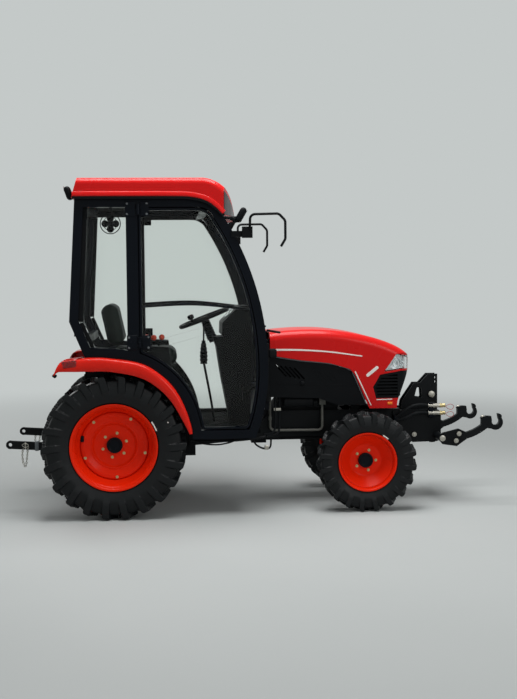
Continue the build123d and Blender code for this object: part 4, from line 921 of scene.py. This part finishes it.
# %% Rear link fittings
def chain(points, wire, length):
    """Links along a line: a stretched ring at each place, along the line, every other one turned across."""
    places = np.asarray(points, float)
    steps = np.linalg.norm(np.diff(places, axis=0), axis=1)
    along = np.concatenate([[0], np.cumsum(steps)])
    at = np.arange(length * 0.7, along[-1], length * 0.72)
    spots = np.stack([np.interp(at, along, places[:, k]) for k in range(3)], 1)
    run = unit(np.gradient(spots, axis=0))
    side = unit(np.cross(run, AXLE))
    across = np.cross(run, side)
    a = np.linspace(0, 2 * np.pi, 20, endpoint=False)
    parts = []
    for k, spot in enumerate(spots):
        flat = side[k] if k % 2 else across[k]
        ring = spot + np.cos(a)[:, None] * run[k] * length / 2 + np.sin(a)[:, None] * flat * length * 0.3
        parts.append(swept(ring, circle(wire, 6), np.cross(run[k], flat), loop=True))
    return parts


loop = curve([(-584, -354, 436), (-592, -356, 400), (-588, -357, 345), (-574, -357, 318), (-566, -356, 350),
              (-560, -355, 405), (-556, -354, 440)], 60)
links = chain(loop, 2.0, 17)
ring = [(-572, -356, 466), (-552, -358, 452), (-572, -356, 438), (-592, -358, 452), (-572, -356, 466)]
pin = [bar([(-572, -352, 470), (-572, -352, 424)], 5), bar(ring, 2.4, 40)]
collar = [pad((13, 15, 31), 6, (-500, -340, 444))]
piece("link_chains", both(links + pin), zinc, "lower_links")
piece("link_collars", both(collar), grey_trim, "lower_links")
SHAFT_Z = 480
a = np.radians(np.linspace(-20, 200, 30))[:, None]
depth, radius = np.array([[-152, -250, -250, -152], [76, 70, 66, 70]])[:, None]
guard = np.stack([depth + 0 * a, radius * np.cos(a), SHAFT_Z + radius * np.sin(a)], -1)
fitting("power_take_off_guard", [lofted(guard)], black_abs)

# %% Pipes and lines under the cab and beside the engine
# Radius, count of points and route of each line
LINES = [(8, 40, [(480, -470, 478), (640, -474, 470), (800, -470, 474), (960, -440, 486)]),
         (5, 40, [(500, -486, 480), (560, -490, 458), (650, -492, 450), (730, -488, 462), (770, -480, 478)]),
         (6, 40, [(880, -440, 484), (900, -450, 440), (950, -455, 414), (990, -450, 420), (1000, -420, 470)]),
         (7, 50, [(1046, -236, 735), (1046, -236, 560), (1030, -250, 490), (960, -330, 486)]),
         (7, 50, [(1075, -226, 735), (1075, -226, 560), (1060, -240, 480), (980, -330, 478)])]
lines = [bar(route, radius, count) for radius, count, route in LINES]
clips = [pad((24, 9, 9), 3, (1060, -232, 640)), pad((14, 12, 14), 6, (968, -454, 420))]
fitting("service_lines", lines, hose_rubber)
fitting("line_clips", clips, zinc)
